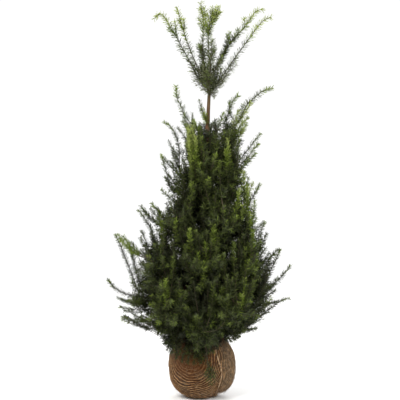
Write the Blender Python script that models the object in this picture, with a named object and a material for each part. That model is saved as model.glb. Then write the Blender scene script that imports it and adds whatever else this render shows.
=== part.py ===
"""English yew on its root ball: a young conical tree with a bare-necked leader, lifted with its soil and
wrapped in hessian.

Metres, +Z up, +X to the right as the tree is seen from the front, which looks along +Y. The origin is on the
ground, near the middle of the flat foot that the ball stands on.
"""

import math
import random

import bpy
import numpy as np
from mathutils import Matrix, Vector
from mathutils.bvhtree import BVHTree

# Driving sizes. GAP is the clearance left between two pieces that touch.
GAP = 0.0003
SEED = 1550
UP = Vector((0, 0, 1))

# The root ball: nearly round, with a flat foot, drawn in by a cord that leaves a smaller lobe on its right.
BALL_CENTRE = Vector((0.014, 0, 0.130))
BALL_RADIUS = 0.149
BALL_DEPTH = 0.135
BALL_RISE = 0.165
BALL_SQUARENESS = 2.2
BALL_LEVELS = (0.010, 0.035, 0.078, 0.130, 0.184, 0.229, 0.262, 0.281)
SMALL_LOBE_SHARES = (-1, -0.87, -0.6, -0.2, 0.2, 0.6, 0.87, 1)
LARGE_LOBE_SHARES = (0.03, 0.08, 0.16, 0.26, 0.36, 0.46, 0.54, 0.64, 0.74, 0.84, 0.92, 0.97)
FOOT_X = -0.006
FOOT_RADIUS = 0.052
WRAP_THICKNESS = 0.004
NECK_RINGS = ((0.2905, 0.042), (0.3090, 0.051))
NECK_RUFFLES = 5
GROOVE_X = 0.070
GROOVE_BOW = 0.028
GROOVE_HEIGHT = 0.120
GROOVE_SPREAD = 0.075
GROOVE_WIDTH = 0.024
GROOVE_DEPTH = 0.11
GROOVE_TOP = 0.300
CORD_RADIUS = 0.0024

# The trunk, from its flat cut on the soil to its fork under the leader's tuft.
TRUNK_FOOT = 0.2673
TRUNK_TOP = 1.385
TREE_TOP = 1.7775
TRUNK_LEAN = 0.047
TRUNK_FOOT_RADIUS = 0.019
TRUNK_TOP_RADIUS = 0.0068
FLARE_RADIUS = 0.011
FLARE_HEIGHT = 0.035

# The crown's half width at each height, for the dense part that long shoots stand out of.
CROWN_OUTLINE = (
    (0.25, 0.17),
    (0.30, 0.21),
    (0.36, 0.25),
    (0.44, 0.29),
    (0.54, 0.30),
    (0.68, 0.265),
    (0.88, 0.20),
    (1.10, 0.145),
    (1.28, 0.10),
)

# Each tier of masses, from the ground up: the height at which it leaves the trunk, the height of its tips, how
# many masses stand round the trunk, the first one's bearing, the share of each limb that is a bare bough, how
# thick its heart is, how many shoots it has, how long they are and how far they turn up.
TIER_SIZES = ("name", "foot", "tip", "count", "bearing", "bough", "core", "shoots", "length", "rise")
TIERS = (
    ("skirt", 0.350, 0.290, 5, 54, 0.25, 0.070, 3, 0.08, -0.3),
    ("low", 0.385, 0.440, 6, 0, 0.25, 0.095, 4, 0.13, 0.5),
    ("middle", 0.455, 0.650, 6, 30, 0.25, 0.095, 4, 0.13, 0.8),
    ("upper", 0.590, 0.880, 5, 0, 0.0, 0.080, 4, 0.13, 0.9),
    ("high", 0.760, 1.090, 5, 36, 0.0, 0.065, 4, 0.13, 0.9),
    ("shoulder", 0.940, 1.270, 4, 10, 0.0, 0.045, 3, 0.12, 0.9),
)
TIER_BENDS = (0.6, 0.32)
CROWN_LEAN = 0.05

# The leader's long shoots, from the top down: each one's tip, and the shares of its way out and up at which
# its curve bends.
LEADER_SHOOTS = (
    ("middle", (0.005, 0.000, TREE_TOP), (0.35, 0.55)),
    ("tall", (0.084, 0.060, 1.748), (0.20, 0.50)),
    ("left", (-0.099, -0.045, 1.744), (0.50, 0.57)),
    ("back", (-0.010, 0.170, 1.640), (0.50, 0.70)),
    ("front", (0.060, -0.170, 1.620), (0.50, 0.70)),
    ("right", (0.297, 0.045, 1.744), (0.42, 0.90)),
    ("far_left", (-0.200, 0.030, 1.718), (0.50, 0.97)),
    ("far_right", (0.324, -0.050, 1.703), (0.50, 0.78)),
)

# The tips of the long shoots that break the crown's outline.
OUTLYING_TIPS = (
    (-0.103, -0.030, 1.393),
    (-0.162, 0.040, 1.240),
    (-0.167, -0.050, 1.087),
    (-0.275, 0.020, 0.840),
    (-0.374, -0.040, 0.731),
    (-0.320, 0.060, 0.700),
    (-0.215, -0.060, 0.875),
    (-0.414, 0.030, 0.524),
    (-0.351, -0.060, 0.358),
    (0.176, 0.020, 1.357),
    (0.329, -0.030, 1.384),
    (0.284, 0.040, 1.190),
    (0.275, -0.050, 0.961),
    (0.302, 0.030, 0.790),
    (0.365, -0.040, 0.673),
    (0.419, 0.030, 0.592),
    (0.405, -0.020, 0.443),
    (-0.027, -0.130, 1.235),
    (0.052, -0.185, 0.110),
)

# How steeply those shoots rise, in degrees, at each height of tip.
SHOOT_SLOPES = ((0.11, -78), (0.30, 0), (0.36, 12), (0.52, 42), (0.73, 62), (1.40, 58))

# Growth: shoots are three-sided twigs with a needle spray on every face.
NEEDLE_REACH = 0.027
NEEDLE_STEP = 0.045
NEEDLE_TURN = math.radians(28)
SHOOT_RADIUS = 0.0022
STEM_RADIUS = 0.0048
LEADER_STEM_RADIUS = 0.0036
BOUGH_FOOT_RADIUS = 0.0085
BOUGH_TIP_RADIUS = 0.0058
SHOOTS_PER_LEADER = 3
OUTLYING_LENGTH = 0.21
CORE_SIDES = 6
CORE_RINGS = 5
SPRAY_SHARE = 0.8
SPACE_MARGIN = 0.007
LIMB_MARGIN = 0.007
GOLDEN_ANGLE = math.radians(137.5)


def clear_scene():
    for item in list(bpy.data.objects):
        bpy.data.objects.remove(item)


def make_material(name, colour, roughness):
    material = bpy.data.materials.new(name)
    material.use_nodes = True
    shader = material.node_tree.nodes["Principled BSDF"]
    shader.inputs["Base Color"].default_value = (*colour, 1)
    shader.inputs["Roughness"].default_value = roughness
    shader.inputs["Metallic"].default_value = 0
    return material


def make_object(name, shape, material, smooth=False):
    """One named object from (points, faces)."""
    points, faces = shape
    mesh = bpy.data.meshes.new(name)
    mesh.from_pydata([tuple(point) for point in points], [], faces)
    mesh.materials.append(material)
    made = bpy.data.objects.new(name, mesh)
    bpy.context.scene.collection.objects.link(made)
    if smooth:
        mesh.shade_smooth()
        mesh.set_sharp_from_angle(angle=math.radians(50))
    return made


# Curves and the rings round them


def arc_between(start, control, end, count):
    """Points along a quadratic curve."""
    shares = [step / (count - 1) for step in range(count)]
    return [start * (1 - s) ** 2 + control * 2 * s * (1 - s) + end * s**2 for s in shares]


def along(path, share):
    """The point at a share of a path's steps."""
    place = min(max(share, 0), 1) * (len(path) - 1)
    first = min(int(place), len(path) - 2)
    return path[first].lerp(path[first + 1], place - first)


def part_of(path, start, end, count):
    return [along(path, start + (end - start) * step / (count - 1)) for step in range(count)]


def heading(path, index):
    return (path[min(index + 1, len(path) - 1)] - path[max(index - 1, 0)]).normalized()


def side_of(direction):
    across = direction.cross(UP)
    return across.normalized() if across.length > 1e-4 else Vector((1, 0, 0))


def rings_along(path, radii, sides, twist=0.0, turn=0.0):
    """A ring of points square to the path at each of its points, turned a little more at each."""
    side, rings = side_of(heading(path, 0)), []
    for index, (centre, radius) in enumerate(zip(path, radii)):
        ahead = heading(path, index)
        side = (side - ahead * side.dot(ahead)).normalized()
        over = ahead.cross(side)
        angles = [turn + index * twist + 2 * math.pi * k / sides for k in range(sides)]
        rings.append([centre + radius * (math.cos(a) * side + math.sin(a) * over) for a in angles])
    return rings


def skew_to_plane(ring, ahead, point, normal):
    """Slides a ring's points along the limb until they lie in the plane."""
    return [v + ahead * ((point - v).dot(normal) / ahead.dot(normal)) for v in ring]


def loft(rings):
    """One closed skin over the rings, with a flat face at each end. A ring of one point closes to a tip."""
    points, faces, starts = [], [], []
    for ring in rings:
        starts.append(len(points))
        points.extend(ring)
    for first, second in zip(range(len(rings) - 1), range(1, len(rings))):
        a, b, sides = starts[first], starts[second], max(len(rings[first]), len(rings[second]))
        for k in range(sides):
            after = (k + 1) % sides
            if len(rings[first]) == 1:
                faces.append((a, b + after, b + k))
            elif len(rings[second]) == 1:
                faces.append((a + k, a + after, b))
            else:
                faces.append((a + k, a + after, b + after, b + k))
    if len(rings[0]) > 1:
        faces.append(tuple(reversed(range(len(rings[0])))))
    if len(rings[-1]) > 1:
        faces.append(tuple(starts[-1] + k for k in range(len(rings[-1]))))
    return points, faces


# The trunk


def trunk_centre(height):
    share = max(height - TRUNK_FOOT, 0) / (TRUNK_TOP - TRUNK_FOOT)
    return Vector((TRUNK_LEAN * share**1.2, 0.006 * math.sin(share * math.pi * 2), height))


def trunk_radius(height):
    share = max(height - TRUNK_FOOT, 0) / (TRUNK_TOP - TRUNK_FOOT)
    taper = TRUNK_TOP_RADIUS + (TRUNK_FOOT_RADIUS - TRUNK_TOP_RADIUS) * (1 - share) ** 0.9
    return taper + FLARE_RADIUS * math.exp(-max(height - TRUNK_FOOT, 0) / FLARE_HEIGHT)


def make_trunk(material):
    """Root flare, taper and lean, with three shallow root ribs that fade out above the flare.

    Returns the bark's skin, for limbs to be set against.
    """
    rings, sides, count = [], 12, 14
    for step in range(count):
        height = TRUNK_FOOT + (TRUNK_TOP - TRUNK_FOOT) * (step / (count - 1)) ** 1.5
        rib = 0.16 * math.exp(-(height - TRUNK_FOOT) / FLARE_HEIGHT)
        centre, ring = trunk_centre(height), []
        for k in range(sides):
            angle = 2 * math.pi * k / sides
            radius = trunk_radius(height) * (1 - rib * (0.5 - 0.5 * math.cos(3 * angle + 0.6)))
            ring.append(centre + radius * Vector((math.cos(angle), math.sin(angle), 0)))
        rings.append(ring)
    shape = loft(rings)
    make_object("trunk", shape, material, smooth=True)
    return BVHTree.FromPolygons(*shape)


# Limbs: one for each mass, whose first part is a bough on the lower tiers


def crown_half_width(height):
    heights, widths = zip(*CROWN_OUTLINE)
    return float(np.interp(height, heights, widths))


def limb_path(bark, height, out, tip, bends, foot_radius):
    """A limb's curve, from where its upright flat foot just clears the bark to its tip.

    out is the level direction it leaves in, and bends holds the shares of its way out and up at which it turns.
    """
    centre = trunk_centre(height)
    ahead = bend(tip - centre - out * trunk_radius(height), bends)
    foot_height = foot_radius * ahead.length / ahead.dot(out)
    reach = 0.0
    for aside in np.linspace(-1, 1, 17) * foot_radius:
        for above in np.linspace(-1, 1, 25) * foot_height:
            outside = centre + side_of(out) * float(aside) + UP * float(above) + out * 0.1
            found = bark.ray_cast(outside, -out)[0]
            if found:
                reach = max(reach, (found - centre).dot(out))
    start = centre + out * (reach + GAP)
    return arc_between(start, start + bend(tip - start, bends), tip, 25)


def bend(rise, bends):
    return Vector((bends[0] * rise.x, bends[0] * rise.y, bends[1] * rise.z))


def beside_trunk(point, out):
    """Whether a point lies wholly on the side of the trunk that a limb leaves from."""
    level = min(point.z, TRUNK_TOP)
    return (point - trunk_centre(level)).dot(out) > trunk_radius(level) + LIMB_MARGIN


def tier_limbs(bark):
    """One limb for each mass of the crown: it leaves the trunk low, and turns up near the outline."""
    limbs = []
    for row in TIERS:
        tier = dict(zip(TIER_SIZES, row))
        for number in range(tier["count"]):
            rng = random.Random(SEED + 31 * len(limbs))
            bearing = math.radians(tier["bearing"] + 360 * number / tier["count"] + rng.uniform(-6, 6))
            out = Vector((math.cos(bearing), math.sin(bearing), 0))
            height = tier["foot"] + rng.uniform(-0.012, 0.012)
            tip_height = tier["tip"] + rng.uniform(-0.03, 0.03)
            tip = trunk_centre(tip_height) + out * crown_half_width(tip_height)
            tip.x += CROWN_LEAN * (height - TIERS[0][1])
            foot_radius = BOUGH_FOOT_RADIUS if tier["bough"] else STEM_RADIUS
            limbs.append(
                {
                    "name": f"{tier['name']}_{number + 1}",
                    "path": limb_path(bark, height, out, tip, TIER_BENDS, foot_radius),
                    "out": out,
                    "bough": tier["bough"],
                    "core": tier["core"],
                    "shoots": tier["shoots"],
                    "shoots_from": 0.4,
                    "length": tier["length"],
                    "rise": tier["rise"],
                    "outlying": [],
                }
            )
    return limbs


def leader_limbs(bark):
    """The leader's own shoots, which leave the trunk one above the other and arch outward."""
    limbs = []
    for number, (name, tip, bends) in enumerate(LEADER_SHOOTS):
        tip, top = Vector(tip), trunk_centre(TRUNK_TOP)
        if name == "middle":
            start, out = top + UP * GAP, UP
            path = arc_between(start, start + bend(tip - start, bends), tip, 25)
        else:
            out = ((tip - top) * Vector((1, 1, 0))).normalized()
            height = TRUNK_TOP - 0.004 - 0.010 * number
            path = limb_path(bark, height, out, tip, bends, LEADER_STEM_RADIUS)
        limbs.append(
            {
                "name": f"leader_{name}",
                "path": path,
                "out": out,
                "bough": 0.0,
                "core": 0.0,
                "shoots": SHOOTS_PER_LEADER,
                "shoots_from": 0.08,
                "length": 0.08,
                "rise": 0.5,
                "outlying": [],
            }
        )
    return limbs


def host_outlying_shoots(limbs):
    """Runs each outlying shoot back from its tip, steeper higher up, to the limb nearest its root."""
    for tip in map(Vector, OUTLYING_TIPS):
        trunk = trunk_centre(min(tip.z, TRUNK_TOP))
        out = ((tip - trunk) * Vector((1, 1, 0))).normalized()
        slope = math.radians(float(np.interp(tip.z, *zip(*SHOOT_SLOPES))))
        wanted = tip - OUTLYING_LENGTH * (out * math.cos(slope) + UP * math.sin(slope))
        places = [
            ((point - wanted).length, number, index)
            for number, limb in enumerate(limbs)
            for index, point in enumerate(limb["path"])
            if limb["bough"] + 0.1 < index / 24 < 0.95 and (point - trunk).dot(out) > 0.03
        ]
        _, number, index = min(places)
        root = limbs[number]["path"][index]
        control = root.lerp(tip, 0.5)
        control.z += float(np.interp(tip.z, (0.6, 1.4), (-0.12, 0.12))) * (tip - root).length
        limbs[number]["outlying"].append(arc_between(root, control, tip, 9))


class Spaces:
    """The space that each mass keeps to: what is nearer its own limb than any other, clear of the wood."""

    def __init__(self, limbs):
        self.skeletons = [
            np.array([tuple(p) for path in [limb["path"], *limb["outlying"]] for p in path])
            for limb in limbs
        ]
        heights = np.linspace(TRUNK_FOOT, TRUNK_TOP, 60)
        self.trunk = np.array([tuple(trunk_centre(h)) for h in heights])
        self.trunk_radii = np.array([trunk_radius(h) for h in heights])
        self.boughs = [
            np.array([tuple(p) for p in part_of(limb["path"], 0, limb["bough"], 12)])
            if limb["bough"]
            else None
            for limb in limbs
        ]

    def holds(self, number, points):
        """Whether all these points lie in the space of the limb with this number."""
        points = np.array([tuple(p) for p in points])
        if (points[:, 2] > TREE_TOP).any():
            return False
        nearest = [
            np.linalg.norm(points[:, None] - skeleton[None], axis=2).min(axis=1)
            for skeleton in self.skeletons
        ]
        own = nearest.pop(number)
        if (own + SPACE_MARGIN > np.min(nearest, axis=0)).any():
            return False
        from_trunk = np.linalg.norm(points[:, None] - self.trunk[None], axis=2) - self.trunk_radii
        if (from_trunk < LIMB_MARGIN).any():
            return False
        if self.boughs[number] is not None:
            from_bough = np.linalg.norm(points[:, None] - self.boughs[number][None], axis=2)
            if (from_bough < BOUGH_FOOT_RADIUS + LIMB_MARGIN).any():
                return False
        return clear_of_ball(points)


def bough_end(limb):
    """The point and direction at which a bough ends and its mass begins."""
    share, path = limb["bough"], limb["path"]
    return along(path, share), (along(path, share + 0.02) - along(path, share - 0.02)).normalized()


def make_bough(limb, material):
    """One tapering limb, cut flat against the trunk and square at its other end."""
    path = part_of(limb["path"], 0, limb["bough"], 4)
    radii = [BOUGH_FOOT_RADIUS + (BOUGH_TIP_RADIUS - BOUGH_FOOT_RADIUS) * k / 3 for k in range(4)]
    rings = rings_along(path, radii, 6)
    rings[0] = skew_to_plane(rings[0], heading(path, 0), path[0], limb["out"])
    rings[-1] = skew_to_plane(rings[-1], heading(path, 3), *bough_end(limb))
    return make_object(f"bough_{limb['name']}", loft(rings), material, smooth=True)


# Growth


def needle_twig(path, foot_radius, bare, turn, fits, flat_on=None):
    """A three-sided tapering twig. Past its bare length each face is drawn out into a needle spray.

    A spray whose tip doesn't fit is left out. flat_on is a point and a direction: the foot is cut square to
    that direction there.
    """
    last = len(path) - 1
    tip_radius = 0.5 * SHOOT_RADIUS
    radii = [foot_radius + (tip_radius - foot_radius) * k / last for k in range(last)]
    rings = rings_along(path, [*radii, 0], 3, NEEDLE_TURN, turn)
    rings[-1] = [path[-1]]
    if flat_on:
        rings[0] = skew_to_plane(rings[0], heading(path, 0), *flat_on)
    points, faces = loft(rings)
    grown, travelled = [], 0.0
    for step in range(last - 1):
        ahead = path[step + 1] - path[step]
        travelled += ahead.length
        for quad in faces[3 * step : 3 * step + 3]:
            centre = sum((points[k] for k in quad), Vector()) / 4
            outward = (centre - path[step].lerp(path[step + 1], 0.5)).normalized()
            reach = NEEDLE_REACH * (0.75 + 0.25 * math.sin(math.pi * (step + 1) / last))
            tip = centre + outward * reach + ahead.normalized() * 0.85 * reach
            if travelled < bare or not fits([tip]):
                grown.append(quad)
                continue
            points.append(tip)
            grown.extend((quad[k], quad[(k + 1) % 4], len(points) - 1) for k in range(4))
    grown.extend(faces[3 * (last - 1) :])
    return points, grown


def shoot_path(start, direction, length, rise):
    """A shoot that leaves in a direction and bends towards the light."""
    steps = max(3, round(length / NEEDLE_STEP))
    path, ahead = [start], direction.normalized()
    for _ in range(steps):
        ahead = (ahead + UP * rise / steps).normalized()
        path.append(path[-1] + ahead * length / steps)
    return path


def core(limb, rng, fits):
    """The dense heart of a mass, drawn in until it fits its space, with a spray on each of its faces."""
    path = part_of(limb["path"], limb["bough"] + 0.06, 0.92, CORE_RINGS + 2)
    fullness = [math.sin(math.pi * (k + 0.2) / (CORE_RINGS + 1.4)) ** 0.5 for k in range(CORE_RINGS + 2)]
    rings = rings_along(path, [limb["core"] * f for f in fullness], CORE_SIDES, 0.35, rng.uniform(0, 6))
    for centre, ring in zip(path, rings):
        for k, point in enumerate(ring):
            spoke = (point - centre) * rng.uniform(0.75, 1.15)
            while spoke.length > 0.008:
                inside = fits([centre + spoke * share for share in (0.4, 0.7, 1)])
                if inside and beside_trunk(centre + spoke, limb["out"]):
                    break
                spoke *= 0.93
            ring[k] = centre + spoke
    points, faces = loft([[path[0]], *rings[1:-1], [path[-1]]])
    onward = ((path[-1] - path[0]).normalized() + UP * limb["rise"]).normalized()
    grown = []
    for face in faces:
        a, b, c = (points[k] for k in face[:3])
        outward = (b - a).cross(c - a).normalized()
        middle = sum((points[k] for k in face), Vector()) / len(face)
        tip = middle + (outward + onward).normalized() * SPRAY_SHARE * limb["core"] * rng.uniform(0.7, 1.3)
        if len(face) < 4 or not fits([middle, middle.lerp(tip, 0.5), tip]):
            grown.append(face)
            continue
        points.append(tip)
        grown.extend((face[k], face[(k + 1) % 4], len(points) - 1) for k in range(4))
    return points, grown


def length_of(path):
    return sum((after - before).length for before, after in zip(path, path[1:]))


def side_shoots(limb, rng, fits):
    """Shoots set round the limb by the golden angle, shortened or left out where they don't fit."""
    made, tries = [], 0
    bare = max(0.6 * limb["core"], 0.02)
    while len(made) < limb["shoots"] and tries < 60:
        tries += 1
        place = limb["bough"] + (1 - limb["bough"]) * (limb["shoots_from"] + 0.5 * ((tries * 0.37) % 1))
        ahead = heading(limb["path"], int(place * 24))
        splay = math.radians(rng.uniform(38, 62))
        across = Matrix.Rotation(tries * GOLDEN_ANGLE + rng.uniform(-0.3, 0.3), 3, ahead) @ side_of(ahead)
        direction = ahead * math.cos(splay) + across * math.sin(splay)
        root, turn = along(limb["path"], place), rng.uniform(0, 6)
        for share in (1.0, 0.8, 0.62):
            length = bare + limb["length"] * rng.uniform(0.85, 1.15) * share
            path = shoot_path(root, direction, length, limb["rise"])
            if fits([point for point in path if (point - root).length > bare * 0.6]):
                made.append(needle_twig(path, SHOOT_RADIUS, bare, turn, fits))
                break
    return made


def make_mass(limb, number, spaces, material):
    """A stem that carries on from its bough or the trunk, with its side shoots and, where dense, a core."""
    rng = random.Random(SEED + 9 * number)
    length = length_of(limb["path"]) * (1 - limb["bough"])
    path = part_of(limb["path"], limb["bough"], 1, round(length / NEEDLE_STEP) + 1)
    if limb["bough"]:
        end, onward = bough_end(limb)
        flat_on, foot_radius = (end + onward * GAP, onward), 0.9 * BOUGH_TIP_RADIUS
    else:
        flat_on, foot_radius = (path[0], limb["out"]), STEM_RADIUS if limb["core"] else LEADER_STEM_RADIUS
    bare = length * (0.7 if limb["core"] else 0.1)

    def fits(points):
        return spaces.holds(number, points)

    shapes = [needle_twig(path, foot_radius, bare, rng.uniform(0, 6), fits, flat_on)]
    if limb["core"]:
        shapes.append(core(limb, rng, fits))
    for outlying in limb["outlying"]:
        steps = round(length_of(outlying) / NEEDLE_STEP) + 1
        outlying = part_of(outlying, 0, 1, steps)
        shapes.append(needle_twig(outlying, SHOOT_RADIUS, 0.6 * limb["core"], 0.5, fits))
    shapes.extend(side_shoots(limb, rng, fits))
    return fuse(f"mass_{limb['name']}", shapes, material)


def fuse(name, shapes, material):
    """Joins closed shapes into one solid, and keeps its outer skin."""
    whole = make_object(name, shapes[0], material)
    others = bpy.data.collections.new(f"{name}_shoots")
    bpy.context.scene.collection.children.link(others)
    for number, shape in enumerate(shapes[1:]):
        piece = make_object(f"{name}_piece_{number}", shape, material)
        bpy.context.scene.collection.objects.unlink(piece)
        others.objects.link(piece)
    union = whole.modifiers.new("union", "BOOLEAN")
    union.operation = "UNION"
    union.operand_type = "COLLECTION"
    union.collection = others
    union.solver = "MANIFOLD"
    bpy.context.view_layer.objects.active = whole
    bpy.ops.object.modifier_apply(modifier=union.name)
    for piece in list(others.objects):
        bpy.data.objects.remove(piece)
    bpy.data.collections.remove(others)
    keep_outer_skin(whole)
    return whole


def keep_outer_skin(item):
    """Drops loose scraps, and fills hollows that the fusing sealed, by keeping only the largest skin."""
    mesh = item.data
    owner = list(range(len(mesh.vertices)))

    def root_of(vertex):
        while owner[vertex] != vertex:
            owner[vertex] = owner[owner[vertex]]
            vertex = owner[vertex]
        return vertex

    for edge in mesh.edges:
        first, second = map(root_of, edge.vertices)
        owner[first] = second
    volumes = {}
    mesh.calc_loop_triangles()
    for triangle in mesh.loop_triangles:
        a, b, c = (mesh.vertices[k].co for k in triangle.vertices)
        skin = root_of(triangle.vertices[0])
        volumes[skin] = volumes.get(skin, 0) + a.dot(b.cross(c)) / 6
    if len(volumes) == 1:
        return
    kept = max(volumes, key=volumes.get)
    faces = [tuple(face.vertices) for face in mesh.polygons if root_of(face.vertices[0]) == kept]
    used = sorted({vertex for face in faces for vertex in face})
    renumbered = {vertex: place for place, vertex in enumerate(used)}
    points = [tuple(mesh.vertices[vertex].co) for vertex in used]
    material = mesh.materials[0]
    clean = bpy.data.meshes.new(item.name)
    clean.from_pydata(points, [], [tuple(renumbered[v] for v in face) for face in faces])
    clean.materials.append(material)
    item.data = clean
    bpy.data.meshes.remove(mesh)


# The root ball


def ball_radius(height):
    drop = height - BALL_CENTRE.z
    share = abs(drop) / (BALL_RISE if drop > 0 else BALL_DEPTH)
    return BALL_RADIUS * max(1 - share**BALL_SQUARENESS, 0.0) ** (1 / BALL_SQUARENESS)


def groove_x(height):
    return GROOVE_X + GROOVE_BOW * math.exp(-(((height - GROOVE_HEIGHT) / GROOVE_SPREAD) ** 2))


def ball_angles(level):
    """Directions round a ring, closest together at the two places where it crosses the groove."""
    crossing = math.acos((groove_x(level) - BALL_CENTRE.x) / ball_radius(level))
    large_lobe = 2 * (math.pi - crossing)
    return [
        *(crossing * share for share in SMALL_LOBE_SHARES),
        *(crossing + large_lobe * share for share in LARGE_LOBE_SHARES),
    ]


def ball_rings():
    """Rings up the ball, from its flat foot, pulled towards its centre along the groove."""
    angles = ball_angles(BALL_LEVELS[0])
    rings = [[Vector((FOOT_X + FOOT_RADIUS * math.cos(a), FOOT_RADIUS * math.sin(a), 0)) for a in angles]]
    for level in BALL_LEVELS:
        radius, ring = ball_radius(level), []
        for angle in ball_angles(level):
            point = Vector((BALL_CENTRE.x + radius * math.cos(angle), radius * math.sin(angle), level))
            pull = GROOVE_DEPTH * math.exp(-(((point.x - groove_x(level)) / GROOVE_WIDTH) ** 2))
            pull *= 1 - (level / GROOVE_TOP) ** 4
            ring.append(point.lerp(BALL_CENTRE, pull))
        rings.append(ring)
    return rings


def inset(rings, depth):
    """The rings moved in towards the ball's centre, with the foot kept flat."""
    moved = [[point + (BALL_CENTRE - point).normalized() * depth for point in ring] for ring in rings]
    for point in moved[0]:
        point.z = depth
    return moved


def neck_ring(height, radius):
    """A ring of the gathered cloth round the trunk's foot."""
    ring = []
    for angle in ball_angles(BALL_LEVELS[-1]):
        wide = radius * (1 + 0.1 * math.cos(NECK_RUFFLES * angle))
        ring.append(Vector((wide * math.cos(angle), wide * math.sin(angle), height)))
    return ring


def clear_of_ball(points):
    """Whether points stay a finger's breadth outside the wrapped ball and its neck."""
    for x, y, z in points:
        reach = math.hypot(x - BALL_CENTRE.x, y)
        if z < 0.29 and reach < ball_radius(max(z, BALL_CENTRE.z * 0.4)) + 0.008:
            return False
        if z < 0.325 and reach < 0.075:
            return False
    return True


def make_soil_ball(material):
    """The soil, just inside the hessian, its faces split along the same diagonals as the hessian's."""
    rings = inset(ball_rings(), WRAP_THICKNESS + 2 * GAP)[:-1]
    rings.append([Vector(((BALL_CENTRE.x + p.x) / 2, p.y / 2, TRUNK_FOOT - GAP)) for p in rings[-1]])
    points, faces = loft(rings)
    faces = [(*face[1:], face[0]) for face in faces]
    return make_object("soil_ball", (points, faces), material, smooth=True)


def make_wrap(material):
    """The hessian: one skin from the foot up over the shoulder to a gathered neck, and back down inside."""
    outer = ball_rings()
    neck = [neck_ring(height, radius) for height, radius in NECK_RINGS]
    neck_inside = [neck_ring(height, radius - WRAP_THICKNESS) for height, radius in reversed(NECK_RINGS)]
    shape = loft([*outer, *neck, *neck_inside, *reversed(inset(outer, WRAP_THICKNESS))])
    make_object("hessian_wrap", shape, material, smooth=True)
    return BVHTree.FromPolygons(*shape)


def make_binding_cord(skin, material):
    """A cord drawn tight round the ball in its groove, as a closed loop just clear of the skin."""
    offset = 1.3 * CORD_RADIUS + GAP
    back = SMALL_LOBE_SHARES.index(1)
    grooves = [(ring[0], ring[back]) for ring in ball_rings()[1:]]
    front, rear = ([p + (p - BALL_CENTRE).normalized() * offset for p in side] for side in zip(*grooves))
    over = skin.ray_cast(Vector((front[-1].x, 0, 1)), -UP)[0] + UP * offset
    widths = [rear[0].y * share for share in (0.6, 0.25, -0.25, -0.6)]
    under = [skin.ray_cast(Vector((front[0].x, y, -1)), UP)[0] - UP * (offset + GAP) for y in widths]
    path = [*under, *front, over, *reversed(rear)]
    count, sides, points, faces = len(path), 6, [], []
    for index, centre in enumerate(path):
        ahead = (path[(index + 1) % count] - path[index - 1]).normalized()
        side = (Vector((1, 0, 0)) - ahead * ahead.x).normalized()
        across = ahead.cross(side)
        for k in range(sides):
            angle = 2 * math.pi * k / sides
            points.append(centre + CORD_RADIUS * (math.cos(angle) * side + math.sin(angle) * across))
    for index in range(count):
        a, b = index * sides, (index + 1) % count * sides
        for k in range(sides):
            after = (k + 1) % sides
            faces.append((a + k, a + after, b + after, b + k))
    return make_object("binding_cord", (points, faces), material, smooth=True)


def main():
    clear_scene()
    red_brown = make_material("red_brown_bark", (0.13, 0.065, 0.04), 0.9)
    needles = make_material("yew_needles", (0.045, 0.085, 0.022), 0.55)
    hessian = make_material("hessian", (0.30, 0.16, 0.075), 0.95)
    soil = make_material("soil", (0.06, 0.038, 0.025), 1.0)
    cord = make_material("jute_cord", (0.46, 0.34, 0.2), 0.9)
    make_soil_ball(soil)
    make_binding_cord(make_wrap(hessian), cord)
    bark = make_trunk(red_brown)
    limbs = [*tier_limbs(bark), *leader_limbs(bark)]
    host_outlying_shoots(limbs)
    spaces = Spaces(limbs)
    for number, limb in enumerate(limbs):
        if limb["bough"]:
            make_bough(limb, red_brown)
        make_mass(limb, number, spaces, needles)


main()
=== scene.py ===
import math
import random
import time

import bpy
import numpy as np
from mathutils import Matrix, Vector, noise
from mathutils.bvhtree import BVHTree


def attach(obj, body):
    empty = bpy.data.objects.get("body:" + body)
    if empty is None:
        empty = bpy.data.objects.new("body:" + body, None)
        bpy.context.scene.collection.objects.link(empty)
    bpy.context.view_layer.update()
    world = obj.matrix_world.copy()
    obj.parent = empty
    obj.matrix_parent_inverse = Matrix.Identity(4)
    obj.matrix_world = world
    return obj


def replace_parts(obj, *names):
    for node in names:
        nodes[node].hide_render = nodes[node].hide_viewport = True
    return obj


started = time.time()


def report(words):
    print(f"{time.time() - started:6.1f} s  {words}")


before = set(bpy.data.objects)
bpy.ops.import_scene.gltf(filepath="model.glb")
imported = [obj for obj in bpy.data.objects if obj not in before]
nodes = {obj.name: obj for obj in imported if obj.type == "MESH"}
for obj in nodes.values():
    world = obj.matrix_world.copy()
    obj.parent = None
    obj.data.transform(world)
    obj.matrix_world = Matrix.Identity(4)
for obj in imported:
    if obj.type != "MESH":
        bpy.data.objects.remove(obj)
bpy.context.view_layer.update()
massNodes = sorted(name for name in nodes if name.startswith("mass_"))
boughNodes = sorted(name for name in nodes if name.startswith("bough_"))
bpy.ops.object.select_all(action="DESELECT")
report(f"loaded {len(nodes)} nodes")

# Camera: level, straight from the front, 4.5 mm of tree to a pixel of a 400 pixel frame.
cameraView = {"distance": 4.5, "lens": 90.0, "across": 0.0045, "height": 0.884}
camera = bpy.data.objects.new("camera", bpy.data.cameras.new("camera"))
camera.data.lens = cameraView["lens"]
camera.data.sensor_width = 36.0
camera.location = (cameraView["across"], -cameraView["distance"], cameraView["height"])
camera.rotation_euler = (math.pi / 2, 0, 0)
bpy.context.scene.collection.objects.link(camera)
bpy.context.scene.camera = camera

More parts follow.
